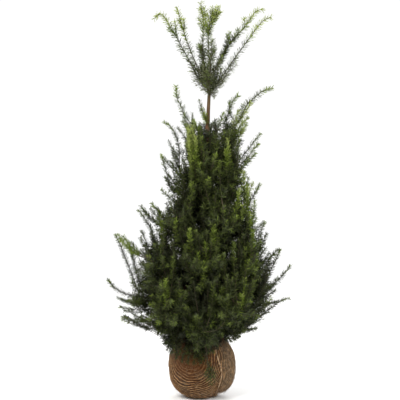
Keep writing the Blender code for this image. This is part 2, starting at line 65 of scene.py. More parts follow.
# Studio: a white backdrop all round, dimmer walls above it, a bright ceiling, and a large soft light from the upper
# left with two weaker ones.
studio = {
    "ceiling": 1.25, "wall": 0.42, "backdrop": 1.05,
    "lights": (
        ("keyLight", (-1.9, -3.0, 3.8), 2.6, 182.0, (1.0, 0.98, 0.95)),
        ("fillLight", (3.0, -2.6, 2.4), 2.2, 80.0, (0.98, 0.99, 1.0)),
        ("backLight", (0.6, 3.2, 3.2), 2.4, 60.0, (1.0, 1.0, 1.0)),
    ),
}
bpy.context.scene.view_settings.view_transform = "Standard"  # the white room stays white, as on a product photo
for name, place, size, power, colour in studio["lights"]:
    light = bpy.data.objects.new(name, bpy.data.lights.new(name, "AREA"))
    light.data.shape = "DISK"
    light.data.size = size
    light.data.energy = power
    light.data.color = colour
    light.location = place
    light.rotation_euler = (Vector((0, 0, 0.8)) - Vector(place)).to_track_quat("-Z", "Y").to_euler()
    bpy.context.scene.collection.objects.link(light)


# Colours are sRGB hex values, which this turns to linear.
def linear(hexColour):
    channels = [int(hexColour[place:place + 2], 16) / 255 for place in (1, 3, 5)]
    return (*(c / 12.92 if c <= 0.04045 else ((c + 0.055) / 1.055) ** 2.4 for c in channels), 1)


# A material, with what is the same all over it set by the names of the shader's sockets.
def newMaterial(name, finish):
    material = bpy.data.materials.new(name)
    material.use_nodes = True
    shader = material.node_tree.nodes["Principled BSDF"]
    for socket, value in finish.items():
        shader.inputs[socket].default_value = value
    return material, shader


# Adds one node. A socket given another node's output is linked to it, and any other value is set. Stops are the
# colours on a ramp, its two ends first.
def addNode(material, kind, sockets, stops=(), **settings):
    node = material.node_tree.nodes.new(kind)
    for name, value in settings.items():
        setattr(node, name, value)
    for number, (position, colour) in enumerate(stops):
        stop = node.color_ramp.elements[number] if number < 2 else node.color_ramp.elements.new(position)
        stop.position, stop.color = position, linear(colour)
    for name, value in sockets.items():
        if isinstance(value, bpy.types.NodeSocket):
            material.node_tree.links.new(value, node.inputs[name])
        else:
            node.inputs[name].default_value = value
    return node


def linkTo(material, shader, socket, output):
    material.node_tree.links.new(output, shader.inputs[socket])


# A base colour that wanders between two shades over the surface. Returns the noise, which a bump can follow.
def mottle(material, shader, scale, detail, darkest, lightest):
    place = addNode(material, "ShaderNodeTexCoord", {}).outputs["Object"]
    wander = addNode(material, "ShaderNodeTexNoise", {
        "Vector": place, "Scale": scale, "Detail": detail}).outputs["Fac"]
    tint = addNode(material, "ShaderNodeValToRGB", {"Fac": wander}, stops=(darkest, lightest))
    linkTo(material, shader, "Base Color", tint.outputs["Color"])
    return wander


room = bpy.data.worlds.new("whiteRoom")
room.use_nodes = True
background = room.node_tree.nodes["Background"]
background.inputs["Color"].default_value = (1, 1, 1, 1)
roomPlace = addNode(room, "ShaderNodeTexCoord", {}).outputs["Generated"]
roomHeight = addNode(room, "ShaderNodeSeparateXYZ", {"Vector": roomPlace}).outputs["Z"]
ceilingLight = addNode(room, "ShaderNodeMapRange", {
    "Value": roomHeight, "From Min": 0.25, "From Max": 0.9, "To Min": studio["wall"], "To Max": studio["ceiling"]})
backdropLight = addNode(room, "ShaderNodeMapRange", {
    "Value": roomHeight, "From Min": 0.20, "From Max": 0.25, "To Min": studio["backdrop"], "To Max": 0.0})
roomLight = addNode(room, "ShaderNodeMath", {
    0: ceilingLight.outputs["Result"], 1: backdropLight.outputs["Result"]}, operation="MAXIMUM")
linkTo(room, background, "Strength", roomLight.outputs["Value"])
bpy.context.scene.world = room

# The floor: matt white paper.
floorMaterial = newMaterial("mattWhitePaper", {"Base Color": linear("#fbfbfa"), "Roughness": 0.9})[0]
bpy.ops.mesh.primitive_circle_add(vertices=96, radius=6.0, fill_type="NGON", location=(0, 0, -0.0005))
floor = bpy.context.active_object
floor.name = "paperFloor"
floor.data.materials.append(floorMaterial)


# One mesh from arrays: points, the corner list of all faces, and how many corners each face has.
def meshObject(name, points, corners, sizes, material, slotName, smooth=False):
    mesh = bpy.data.meshes.new(name)
    mesh.vertices.add(len(points))
    mesh.vertices.foreach_set("co", np.asarray(points, np.float32).ravel())
    mesh.loops.add(len(corners))
    mesh.loops.foreach_set("vertex_index", np.asarray(corners, np.int32))
    mesh.polygons.add(len(sizes))
    mesh.polygons.foreach_set("loop_start", (np.cumsum(sizes) - sizes).astype(np.int32))
    mesh.update(calc_edges=True)
    if smooth:
        mesh.shade_smooth()
    mesh.materials.append(material)
    piece = bpy.data.objects.new(name, mesh)
    bpy.context.scene.collection.objects.link(piece)
    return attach(piece, "root")


# The tree's own rule of growth, as its solids were grown by. Metres, and bearings in degrees.
gap = 0.0003
seed = 1550
up = Vector((0, 0, 1))
ball = {
    "centre": Vector((0.014, 0, 0.130)), "radius": 0.149, "depth": 0.135, "rise": 0.165, "squareness": 2.2,
    "grooveX": 0.070, "grooveBow": 0.028, "grooveHeight": 0.120, "grooveSpread": 0.075, "grooveWidth": 0.024,
    "grooveDepth": 0.11, "grooveTop": 0.300, "footX": -0.006, "footRadius": 0.052, "footHeight": 0.010,
    "shoulderHeight": 0.281, "top": 0.29, "neckTop": 0.325, "neckReach": 0.075, "ruffles": 5,
}
limbSteps = 24
trunk = {
    "foot": 0.2673, "top": 1.385, "lean": 0.047, "footRadius": 0.019, "topRadius": 0.0068,
    "flare": 0.011, "flareHeight": 0.035,
}
treeTop = 1.7775
crownOutline = (
    (0.25, 0.17), (0.30, 0.21), (0.36, 0.25), (0.44, 0.29), (0.54, 0.30),
    (0.68, 0.265), (0.88, 0.20), (1.10, 0.145), (1.28, 0.10),
)
tierSizes = ("name", "foot", "tip", "count", "bearing", "bough", "core", "shoots", "length", "rise")
tiers = (
    ("skirt", 0.350, 0.290, 5, 54, 0.25, 0.070, 3, 0.08, -0.3),
    ("low", 0.385, 0.440, 6, 0, 0.25, 0.095, 4, 0.13, 0.5),
    ("middle", 0.455, 0.650, 6, 30, 0.25, 0.095, 4, 0.13, 0.8),
    ("upper", 0.590, 0.880, 5, 0, 0.0, 0.080, 4, 0.13, 0.9),
    ("high", 0.760, 1.090, 5, 36, 0.0, 0.065, 4, 0.13, 0.9),
    ("shoulder", 0.940, 1.270, 4, 10, 0.0, 0.045, 3, 0.12, 0.9),
)
leaderShoots = (
    ("middle", (0.005, 0.000, treeTop), (0.35, 0.55)),
    ("tall", (0.084, 0.060, 1.748), (0.20, 0.50)),
    ("left", (-0.099, -0.045, 1.744), (0.50, 0.57)),
    ("back", (-0.010, 0.170, 1.640), (0.50, 0.70)),
    ("front", (0.060, -0.170, 1.620), (0.50, 0.70)),
    ("right", (0.297, 0.045, 1.744), (0.42, 0.90)),
    ("far_left", (-0.200, 0.030, 1.718), (0.50, 0.97)),
    ("far_right", (0.324, -0.050, 1.703), (0.50, 0.78)),
)
outlyingTips = (
    (-0.103, -0.030, 1.393), (-0.162, 0.040, 1.240), (-0.167, -0.050, 1.087), (-0.275, 0.020, 0.840),
    (-0.374, -0.040, 0.731), (-0.320, 0.060, 0.700), (-0.215, -0.060, 0.875), (-0.414, 0.030, 0.524),
    (-0.351, -0.060, 0.358), (0.176, 0.020, 1.357), (0.329, -0.030, 1.384), (0.284, 0.040, 1.190),
    (0.275, -0.050, 0.961), (0.302, 0.030, 0.790), (0.365, -0.040, 0.673), (0.419, 0.030, 0.592),
    (0.405, -0.020, 0.443), (-0.027, -0.130, 1.235), (0.052, -0.185, 0.110),
)
shootSlopes = ((0.11, -78), (0.30, 0), (0.36, 12), (0.52, 42), (0.73, 62), (1.40, 58))
growth = {
    "tierBends": (0.6, 0.32), "crownLean": 0.05, "needleStep": 0.045, "stemRadius": 0.0048,
    "leaderStemRadius": 0.0036, "boughFootRadius": 0.0085, "boughTipRadius": 0.0058, "leaderSideShoots": 3,
    "outlyingLength": 0.21, "coreSides": 6, "coreRings": 5, "sprayShare": 0.8, "spaceMargin": 0.007,
    "limbMargin": 0.007, "ballMargin": 0.008, "goldenAngle": math.radians(137.5),
}


def arcBetween(start, control, end, count):
    shares = [step / (count - 1) for step in range(count)]
    return [start * (1 - s) ** 2 + control * 2 * s * (1 - s) + end * s**2 for s in shares]


def along(path, share):
    place = min(max(share, 0), 1) * (len(path) - 1)
    first = min(int(place), len(path) - 2)
    return path[first].lerp(path[first + 1], place - first)


def partOf(path, start, end, count):
    return [along(path, start + (end - start) * step / (count - 1)) for step in range(count)]


def heading(path, index):
    return (path[min(index + 1, len(path) - 1)] - path[max(index - 1, 0)]).normalized()


def outAt(bearing):
    return Vector((math.cos(bearing), math.sin(bearing), 0))


def awayFrom(axis, point):
    return ((point - axis) * Vector((1, 1, 0))).normalized()


# The level at a value, read between places whose levels are known.
def fade(value, places, levels):
    return float(np.interp(value, places, levels))


def readOff(table, height):
    return fade(height, *zip(*table))


def sideOf(direction):
    across = direction.cross(up)
    return across.normalized() if across.length > 1e-4 else Vector((1, 0, 0))


def lengthOf(path):
    return sum((after - before).length for before, after in zip(path, path[1:]))


def trunkCentre(height):
    share = max(height - trunk["foot"], 0) / (trunk["top"] - trunk["foot"])
    return Vector((trunk["lean"] * share**1.2, 0.006 * math.sin(share * math.pi * 2), height))


# The axis of the crown: the trunk's own, and straight up above its top.
def axisAt(height):
    return trunkCentre(min(height, trunk["top"]))


def trunkRadius(height):
    share = max(height - trunk["foot"], 0) / (trunk["top"] - trunk["foot"])
    taper = trunk["topRadius"] + (trunk["footRadius"] - trunk["topRadius"]) * max(1 - share, 0) ** 0.9
    return taper + trunk["flare"] * math.exp(-max(height - trunk["foot"], 0) / trunk["flareHeight"])


def bend(rise, bends):
    return Vector((bends[0] * rise.x, bends[0] * rise.y, bends[1] * rise.z))


# A limb's curve, from where its upright flat foot just clears the bark to its tip.
barkSkin = BVHTree.FromObject(nodes["trunk"], bpy.context.evaluated_depsgraph_get())


def limbPath(height, out, tip, bends, footRadius):
    centre = trunkCentre(height)
    ahead = bend(tip - centre - out * trunkRadius(height), bends)
    footHeight = footRadius * ahead.length / ahead.dot(out)
    reach = 0.0
    for aside in np.linspace(-1, 1, 17) * footRadius:
        for above in np.linspace(-1, 1, 25) * footHeight:
            outside = centre + sideOf(out) * float(aside) + up * float(above) + out * 0.1
            found = barkSkin.ray_cast(outside, -out)[0]
            if found:
                reach = max(reach, (found - centre).dot(out))
    start = centre + out * (reach + gap)
    return arcBetween(start, start + bend(tip - start, bends), tip, limbSteps + 1)


def tierLimbs():
    limbs = []
    for row in tiers:
        tier = dict(zip(tierSizes, row))
        for number in range(tier["count"]):
            rng = random.Random(seed + 31 * len(limbs))
            bearing = math.radians(tier["bearing"] + 360 * number / tier["count"] + rng.uniform(-6, 6))
            out = outAt(bearing)
            height = tier["foot"] + rng.uniform(-0.012, 0.012)
            tipHeight = tier["tip"] + rng.uniform(-0.03, 0.03)
            halfWidth = readOff(crownOutline, tipHeight)
            tip = trunkCentre(tipHeight) + out * halfWidth
            tip.x += growth["crownLean"] * (height - tiers[0][1])
            footRadius = growth["boughFootRadius"] if tier["bough"] else growth["stemRadius"]
            limbs.append({
                **tier, "name": f"{tier['name']}_{number + 1}", "out": out, "shootsFrom": 0.4, "outlying": [],
                "path": limbPath(height, out, tip, growth["tierBends"], footRadius),
            })
    return limbs


def leaderLimbs():
    limbs = []
    for number, (name, tip, bends) in enumerate(leaderShoots):
        tip, top = Vector(tip), trunkCentre(trunk["top"])
        if name == "middle":
            start, out = top + up * gap, up
            path = arcBetween(start, start + bend(tip - start, bends), tip, limbSteps + 1)
        else:
            out = awayFrom(top, tip)
            height = trunk["top"] - 0.004 - 0.010 * number
            path = limbPath(height, out, tip, bends, growth["leaderStemRadius"])
        limbs.append({
            "name": f"leader_{name}", "path": path, "out": out, "bough": 0.0, "core": 0.0, "outlying": [],
            "shoots": growth["leaderSideShoots"], "shootsFrom": 0.08, "length": 0.08, "rise": 0.5,
        })
    return limbs


# Each outlying shoot runs back from its tip, steeper higher up, to the limb nearest its root.
def hostOutlyingShoots(limbs):
    for tip in map(Vector, outlyingTips):
        axis = axisAt(tip.z)
        out = awayFrom(axis, tip)
        slope = math.radians(readOff(shootSlopes, tip.z))
        wanted = tip - growth["outlyingLength"] * (out * math.cos(slope) + up * math.sin(slope))
        places = [
            ((point - wanted).length, number, index)
            for number, limb in enumerate(limbs)
            for index, point in enumerate(limb["path"])
            if limb["bough"] + 0.1 < index / limbSteps < 0.95 and (point - axis).dot(out) > 0.03
        ]
        _, number, index = min(places)
        root = limbs[number]["path"][index]
        control = root.lerp(tip, 0.5)
        control.z += fade(tip.z, (0.6, 1.4), (-0.12, 0.12)) * (tip - root).length
        limbs[number]["outlying"].append(arcBetween(root, control, tip, 9))


def ballRadius(height):
    drop = height - ball["centre"].z
    share = abs(drop) / (ball["rise"] if drop > 0 else ball["depth"])
    return ball["radius"] * max(1 - share ** ball["squareness"], 0.0) ** (1 / ball["squareness"])


def grooveX(height):
    bow = math.exp(-(((height - ball["grooveHeight"]) / ball["grooveSpread"]) ** 2))
    return ball["grooveX"] + ball["grooveBow"] * bow


limbs = [*tierLimbs(), *leaderLimbs()]
hostOutlyingShoots(limbs)

# The space that each mass keeps to: what is nearer its own limb than any other, clear of the wood and the ball.
skeletons = [[p for path in [limb["path"], *limb["outlying"]] for p in path] for limb in limbs]
skeletonPoints = np.array([tuple(p) for skeleton in skeletons for p in skeleton])
skeletonOwners = np.array([number for number, skeleton in enumerate(skeletons) for _ in skeleton])
trunkHeights = np.linspace(trunk["foot"], trunk["top"], 60)
trunkPoints = np.array([tuple(trunkCentre(h)) for h in trunkHeights])
trunkRadii = np.array([trunkRadius(h) for h in trunkHeights])
boughPoints = [
    np.array([tuple(p) for p in partOf(limb["path"], 0, limb["bough"], 12)]) if limb["bough"] else None
    for limb in limbs
]
ballHeights = np.linspace(0, ball["top"], 30)
ballReaches = np.array([ballRadius(max(h, ball["centre"].z * 0.4)) for h in ballHeights])


def fromBall(points):
    return np.hypot(points[:, 0] - ball["centre"].x, points[:, 1])


def insideBall(points):
    skin = np.interp(points[:, 2], ballHeights, ballReaches) + growth["ballMargin"]
    return (points[:, 2] < ball["top"]) & (fromBall(points) < skin)


def holds(number, points):
    points = np.asarray(points, float)
    distances = np.linalg.norm(points[:, None] - skeletonPoints[None], axis=2)
    mine = skeletonOwners == number
    inside = distances[:, mine].min(axis=1) + growth["spaceMargin"] <= distances[:, ~mine].min(axis=1)
    inside &= points[:, 2] <= treeTop
    fromTrunk = np.linalg.norm(points[:, None] - trunkPoints[None], axis=2) - trunkRadii
    inside &= (fromTrunk >= growth["limbMargin"]).all(axis=1)
    if boughPoints[number] is not None:
        fromBough = np.linalg.norm(points[:, None] - boughPoints[number][None], axis=2)
        inside &= (fromBough >= growth["boughFootRadius"] + growth["limbMargin"]).all(axis=1)
    inside &= ~((points[:, 2] < ball["neckTop"]) & (fromBall(points) < ball["neckReach"]))
    return inside & ~insideBall(points)


def besideTrunk(point, out):
    level = min(point.z, trunk["top"])
    return (point - trunkCentre(level)).dot(out) > trunkRadius(level) + growth["limbMargin"]


def shootPath(start, direction, length, rise):
    steps = max(3, round(length / growth["needleStep"]))
    path, ahead = [start], direction.normalized()
    for _ in range(steps):
        ahead = (ahead + up * rise / steps).normalized()
        path.append(path[-1] + ahead * length / steps)
    return path


def ringsAlong(path, radii, sides, twist, turn):
    side, rings = sideOf(heading(path, 0)), []
    for index, (centre, radius) in enumerate(zip(path, radii)):
        ahead = heading(path, index)
        side = (side - ahead * side.dot(ahead)).normalized()
        over = ahead.cross(side)
        angles = [turn + index * twist + 2 * math.pi * k / sides for k in range(sides)]
        rings.append([centre + radius * (math.cos(a) * side + math.sin(a) * over) for a in angles])
    return rings


# The dense heart of a mass: where each of its faces lies, and how far the spray on it reaches.
def heartSprays(limb, number, rng):
    count, sides = growth["coreRings"] + 2, growth["coreSides"]
    path = partOf(limb["path"], limb["bough"] + 0.06, 0.92, count)
    fullness = [math.sin(math.pi * (k + 0.2) / (growth["coreRings"] + 1.4)) ** 0.5 for k in range(count)]
    rings = ringsAlong(path, [limb["core"] * f for f in fullness], sides, 0.35, rng.uniform(0, 6))
    for centre, ring in zip(path, rings):
        for k, point in enumerate(ring):
            spoke = (point - centre) * rng.uniform(0.75, 1.15)
            while spoke.length > 0.008:
                inside = holds(number, [centre + spoke * share for share in (0.4, 0.7, 1)]).all()
                if inside and besideTrunk(centre + spoke, limb["out"]):
                    break
                spoke *= 0.93
            ring[k] = centre + spoke
    rings[0], rings[-1] = [path[0]] * sides, [path[-1]] * sides
    onward = ((path[-1] - path[0]).normalized() + up * limb["rise"]).normalized()
    sprays = []
    for first, second in zip(rings, rings[1:]):
        for k in range(sides):
            after = (k + 1) % sides
            face = list(dict.fromkeys(tuple(p) for p in (first[k], first[after], second[after], second[k])))
            corners = [Vector(p) for p in face]
            outward = (corners[1] - corners[0]).cross(corners[2] - corners[0]).normalized()
            middle = sum(corners, Vector()) / len(corners)
            ahead = (outward + onward).normalized()
            tip = middle + ahead * growth["sprayShare"] * limb["core"] * rng.uniform(0.7, 1.3)
            fits = len(face) == 4 and holds(number, [middle, middle.lerp(tip, 0.5), tip]).all()
            sprays.append((middle, tip if fits else middle + ahead * 0.012))
    return sprays


# Shoots set round the limb by the golden angle, shortened or left out where they don't fit.
def sideShoots(limb, number, rng):
    made, tries = [], 0
    bare = max(0.6 * limb["core"], 0.02)
    while len(made) < limb["shoots"] and tries < 60:
        tries += 1
        place = limb["bough"] + (1 - limb["bough"]) * (limb["shootsFrom"] + 0.5 * ((tries * 0.37) % 1))
        ahead = heading(limb["path"], int(place * limbSteps))
        splay = math.radians(rng.uniform(38, 62))
        across = Matrix.Rotation(tries * growth["goldenAngle"] + rng.uniform(-0.3, 0.3), 3, ahead) @ sideOf(ahead)
        direction = ahead * math.cos(splay) + across * math.sin(splay)
        root = along(limb["path"], place)
        rng.uniform(0, 6)
        for share in (1.0, 0.8, 0.62):
            length = bare + limb["length"] * rng.uniform(0.85, 1.15) * share
            path = shootPath(root, direction, length, limb["rise"])
            if holds(number, [point for point in path if (point - root).length > bare * 0.6]).all():
                made.append(path)
                break
    return made


# Bark: yew's is thin and red-brown, and comes away in small scales and long strips, so it looks matt and ragged.
barkLooks = {
    "around": 28, "ringStep": 0.007, "relief": 0.0009, "ribDepth": 0.16, "collar": 1.45, "boughStations": 12,
    "scaleMm": 9.0, "stripMm": 26.0, "old": "#4a2f22", "lifted": "#7c5844", "young": "#4a3e28",
}
bark, shader = newMaterial("scalyRedBrownBark", {"Roughness": 0.88, "Specular IOR Level": 0.2})
place = addNode(bark, "ShaderNodeTexCoord", {}).outputs["Object"]
strips = addNode(bark, "ShaderNodeMapping", {
    "Vector": place,
    "Scale": (1000 / barkLooks["scaleMm"], 1000 / barkLooks["scaleMm"], 1000 / barkLooks["stripMm"]),
}).outputs["Vector"]
scales = addNode(bark, "ShaderNodeTexVoronoi", {"Vector": strips, "Scale": 1.0, "Randomness": 0.9})
blotches = addNode(bark, "ShaderNodeTexNoise", {"Vector": strips, "Scale": 0.7, "Detail": 5.0})
tint = addNode(bark, "ShaderNodeValToRGB", {"Fac": blotches.outputs["Fac"]}, stops=(
    (0.36, barkLooks["old"]), (0.66, barkLooks["lifted"])))
heights = addNode(bark, "ShaderNodeSeparateXYZ", {"Vector": place})
youth = addNode(bark, "ShaderNodeMapRange", {"Value": heights.outputs["Z"], "From Min": 1.15, "From Max": 1.36})
tinted = addNode(bark, "ShaderNodeMix", {
    "Factor": youth.outputs["Result"], 6: tint.outputs["Color"], 7: linear(barkLooks["young"])}, data_type="RGBA")
linkTo(bark, shader, "Base Color", tinted.outputs[2])
edges = addNode(bark, "ShaderNodeBump", {"Height": scales.outputs["Distance"], "Strength": 0.55, "Distance": 0.0012})
linkTo(bark, shader, "Normal", edges.outputs["Normal"])


def finishPiece(piece, material, slotName, *replaced):
    bpy.ops.object.select_all(action="DESELECT")
    piece.data.materials.clear()
    piece.data.materials.append(material)
    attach(piece, "root")
    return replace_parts(piece, *replaced) if replaced else piece


# The trunk: a disc of cut wood drawn up ring by ring, then given its root ribs and the relief of its bark.
def trunkBark():
    foot, top = trunk["foot"], trunk["top"]
    bpy.ops.mesh.primitive_circle_add(
        vertices=barkLooks["around"], radius=trunkRadius(foot), fill_type="NGON", location=trunkCentre(foot))
    piece = bpy.context.active_object
    piece.name = "trunkBark"
    bpy.ops.object.transform_apply(location=True)
    bpy.ops.object.mode_set(mode="EDIT")
    bpy.ops.mesh.select_all(action="SELECT")
    levels = np.linspace(foot, top, round((top - foot) / barkLooks["ringStep"]))
    for below, above in zip(levels, levels[1:]):
        bpy.ops.mesh.extrude_region_move(TRANSFORM_OT_translate={"value": trunkCentre(above) - trunkCentre(below)})
        taper = trunkRadius(above) / trunkRadius(below)
        bpy.ops.transform.resize(value=(taper, taper, 1), center_override=trunkCentre(above))
    bpy.ops.mesh.select_all(action="SELECT")
    bpy.ops.mesh.normals_make_consistent(inside=False)
    bpy.ops.object.mode_set(mode="OBJECT")
    for vertex in piece.data.vertices:
        centre = trunkCentre(vertex.co.z)
        spoke = vertex.co - centre
        angle = math.atan2(spoke.y, spoke.x)
        rib = barkLooks["ribDepth"] * math.exp(-(vertex.co.z - foot) / trunk["flareHeight"])
        relief = noise.noise(Vector((math.cos(angle) * 2.4, math.sin(angle) * 2.4, vertex.co.z * 22)))
        ribbed = 1 - rib * (0.5 - 0.5 * math.cos(3 * angle + 0.6))
        spoke *= ribbed + barkLooks["relief"] * relief / trunkRadius(vertex.co.z)
        vertex.co = centre + spoke
    bpy.ops.object.shade_smooth()
    return finishPiece(piece, bark, "red_brown_bark", "trunk")


# The boughs: one curve to each, thickened, with a collar where it leaves the trunk.
def boughBark():
    curve = bpy.data.curves.new("boughBark", "CURVE")
    curve.dimensions = "3D"
    curve.bevel_depth = 1.0
    curve.bevel_resolution = 3
    curve.use_fill_caps = True
    count = barkLooks["boughStations"]
    for limb in limbs:
        if not limb["bough"]:
            continue
        path = partOf(limb["path"], 0, limb["bough"], count)
        path[0] = path[0] - limb["out"] * 0.006
        spline = curve.splines.new("POLY")
        spline.points.add(count - 1)
        for k, (point, centre) in enumerate(zip(spline.points, path)):
            share = k / (count - 1)
            radius = growth["boughFootRadius"] + (growth["boughTipRadius"] - growth["boughFootRadius"]) * share
            point.co = (*centre, 1)
            point.radius = radius * (1 + (barkLooks["collar"] - 1) * math.exp(-share * 6))
    piece = bpy.data.objects.new("boughBark", curve)
    bpy.context.scene.collection.objects.link(piece)
    piece.select_set(True)
    bpy.context.view_layer.objects.active = piece
    bpy.ops.object.convert(target="MESH")
    for vertex in piece.data.vertices:
        vertex.co += vertex.normal * barkLooks["relief"] * noise.noise(vertex.co * 130)
    bpy.ops.object.shade_smooth()
    return finishPiece(piece, bark, "red_brown_bark", *boughNodes)


trunkBark()
boughBark()
report("made the trunk and boughs")

# The hessian: coarse jute cloth of thick, loosely twisted yarn, which lies in rounded ridges and frays.
hessian = {
    "around": 320, "rings": 140, "ridgeMm": 12.0, "relief": 0.0054, "waver": 0.60, "eye": (-0.052, -0.128, 0.076),
    "smooth": (0.050, 0.120), "hairs": 4600, "hairLength": 0.013, "hairRadius": 0.00038, "yarnMm": 3.0,
    "fibreMm": 16.0, "lumps": 0.004, "lumpScale": 14, "thinned": 0.72, "fineWaver": 24, "slowWaver": 9,
    "lobeX": 0.02, "lobeRadius": 0.125, "lobeRidge": 40, "crestPower": 1.5, "crestMiddle": 0.40, "flatFoot": 0.012,
    # Of these colours the near-black one is painted shade for the grooves and the palest a painted highlight for the
    # crests; the others are the jute's own.
    "yarn": "#4d2d15", "paintedCrestHighlight": "#b58b5c", "shade": "#0b0502", "dusty": "#76664f", "tan": "#5a3512",
}
eyeAxis = Vector(hessian["eye"]).normalized()
eyePoint = ball["centre"] + eyeAxis * ball["radius"]
eyeSide = eyeAxis.cross(Vector((1, 0, 0))).normalized()
eyeOver = eyeAxis.cross(eyeSide)


def footPoint(angle, radius):
    return Vector((ball["footX"] + radius * math.cos(angle), radius * math.sin(angle), 0))


def ballPoint(angle, level):
    if level < ball["footHeight"]:
        share = max(level, 0) / ball["footHeight"]
        rim, foot = ballPoint(angle, ball["footHeight"]), footPoint(angle, ball["footRadius"])
        return Vector((foot.x + (rim.x - foot.x) * share, foot.y + (rim.y - foot.y) * share, level))
    radius = ballRadius(level)
    point = Vector((ball["centre"].x + radius * math.cos(angle), radius * math.sin(angle), level))
    pull = ball["grooveDepth"] * math.exp(-(((point.x - grooveX(level)) / ball["grooveWidth"]) ** 2))
    pull *= 1 - (level / ball["grooveTop"]) ** 4
    return point.lerp(ball["centre"], pull)


# How many ridges a point lies from where they start, and how far along its ridge, in metres.
def ridgePlace(point):
    spoke = point - ball["centre"]
    pitch = hessian["ridgeMm"] / 1000
    waver = hessian["waver"] * noise.noise(point * hessian["fineWaver"])
    waver += 2.0 * hessian["waver"] * noise.noise(point * hessian["slowWaver"] + up)
    if point.x > grooveX(point.z) and point.z < ball["top"]:
        around = math.atan2(spoke.y, spoke.x - hessian["lobeX"])
        return around * hessian["lobeRadius"] / pitch + waver + hessian["lobeRidge"], point.z
    away = eyeAxis.angle(spoke)
    return away * ball["radius"] / pitch + waver, math.atan2(spoke.dot(eyeSide), spoke.dot(eyeOver)) * ball["radius"]


# The cloth's section from the trunk outward: inside the gathered neck, over its lip, and down to the shoulder.
neckSection = (
    (0.0, 0.0, 0.2880), (0.018, 0.034, 0.2880), (0.034, 0.0465, 0.3065), (0.040, 0.0500, 0.3090),
    (0.050, 0.0480, 0.3010), (0.060, 0.0420, 0.2905), (0.080, 0.0678, 0.2810),
)
shoulderShare, footShare = 0.080, 0.930


def wrapPoint(angle, share):
    if share < shoulderShare:
        shares, radii, levels = zip(*neckSection)
        radius, level = fade(share, shares, radii), fade(share, shares, levels)
        low = min(max((share - 0.060) / 0.020, 0), 1)
        radius *= 1 + (1 - low) * (0.10 * math.cos(ball["ruffles"] * angle) + 0.035 * math.cos(17 * angle + 1))
        return Vector((low * ball["centre"].x + radius * math.cos(angle), radius * math.sin(angle), level))
    if share > footShare:
        return footPoint(angle, ball["footRadius"] * (1 - share) / (1 - footShare))
    turn = math.pi * (share - shoulderShare) / (footShare - shoulderShare)
    return ballPoint(angle, ball["shoulderHeight"] / 2 + ball["shoulderHeight"] / 2 * math.cos(turn))


def hessianWrap():
    count, rings = hessian["around"], hessian["rings"]
    bpy.ops.mesh.primitive_uv_sphere_add(
        segments=count, ring_count=rings, radius=ball["radius"], location=ball["centre"])
    piece = bpy.context.active_object
    piece.name = "hessianWrap"
    mesh = piece.data
    bpy.ops.object.transform_apply(location=True)
    places = []
    for vertex in mesh.vertices:
        spoke = vertex.co - ball["centre"]
        share = math.acos(max(-1, min(1, spoke.z / spoke.length))) / math.pi
        point = wrapPoint(math.atan2(spoke.y, spoke.x), share)
        ridge, alongRidge = ridgePlace(point)
        places.append((ridge, alongRidge))
        outward = (point - ball["centre"]).normalized()
        crest = (1 - abs(2 * (ridge % 1) - 1)) ** hessian["crestPower"] - hessian["crestMiddle"]
        ridged = fade((point - eyePoint).length, hessian["smooth"], (0.0, 1))
        ridged *= 0.8 + 0.9 * noise.noise(Vector((alongRidge * 30, round(ridge - 0.5) * 3.7, 5)))
        relief = hessian["relief"] * crest * ridged + hessian["lumps"] * noise.noise(point * hessian["lumpScale"])
        relief *= min(point.z / hessian["flatFoot"], 1) * min(max((share - 0.058) / 0.03, 0.25), 1)
        vertex.co = point + outward * relief
        vertex.co.z = max(vertex.co.z, 0)
    uvLayer = mesh.uv_layers[0] if mesh.uv_layers else mesh.uv_layers.new()
    uvLayer.name = "jute"
    period = 2 * math.pi * ball["radius"]
    for face in mesh.polygons:
        spots = [places[mesh.loops[k].vertex_index] for k in face.loop_indices]
        highest = max(spot[1] for spot in spots)
        for k, (ridge, alongRidge) in zip(face.loop_indices, spots):
            if highest - alongRidge > period / 2:
                alongRidge += period
            uvLayer.data[k].uv = (alongRidge, ridge)
    bpy.ops.object.shade_smooth()
    return finishPiece(piece, jute, "hessian", "hessian_wrap")


# Jute in the cloth: matt, with coarse yarn. Its colour carries a painted highlight along each ridge's crest and
# painted shade, nearly black, between its ridges and between its yarns.
jute, shader = newMaterial("coarseWovenJute", {"Roughness": 0.95, "Sheen Weight": 0.05, "Specular IOR Level": 0.1})
uvPlace = addNode(jute, "ShaderNodeUVMap", {}, uv_map="jute").outputs["UV"]
objectPlace = addNode(jute, "ShaderNodeTexCoord", {}).outputs["Object"]
onCloth = addNode(jute, "ShaderNodeSeparateXYZ", {"Vector": uvPlace}).outputs
yarnsAlong, yarnsToRidge = 1000 / hessian["yarnMm"], hessian["ridgeMm"] / hessian["yarnMm"]
yarnPlace = addNode(jute, "ShaderNodeMapping", {"Vector": uvPlace, "Scale": (yarnsAlong, yarnsToRidge, 1.0)})
yarns = addNode(jute, "ShaderNodeTexVoronoi", {
    "Vector": yarnPlace.outputs["Vector"], "Scale": 1.0, "Randomness": 0.6}).outputs["Distance"]
towardEye = addNode(jute, "ShaderNodeVectorMath", {
    0: objectPlace, 1: eyePoint}, operation="DISTANCE").outputs["Value"]
acrossBall = addNode(jute, "ShaderNodeSeparateXYZ", {"Vector": objectPlace}).outputs["X"]
effects = {"alongRidge": onCloth["X"], "overRidges": onCloth["Y"], "yarns": yarns}
fibrePlace = addNode(jute, "ShaderNodeMapping", {
    "Vector": uvPlace, "Scale": (1000 / hessian["fibreMm"], 4.5, 1.0)}).outputs["Vector"]
breakPlace = addNode(jute, "ShaderNodeMapping", {"Vector": uvPlace, "Scale": (34.0, 1.3, 1.0)}).outputs["Vector"]
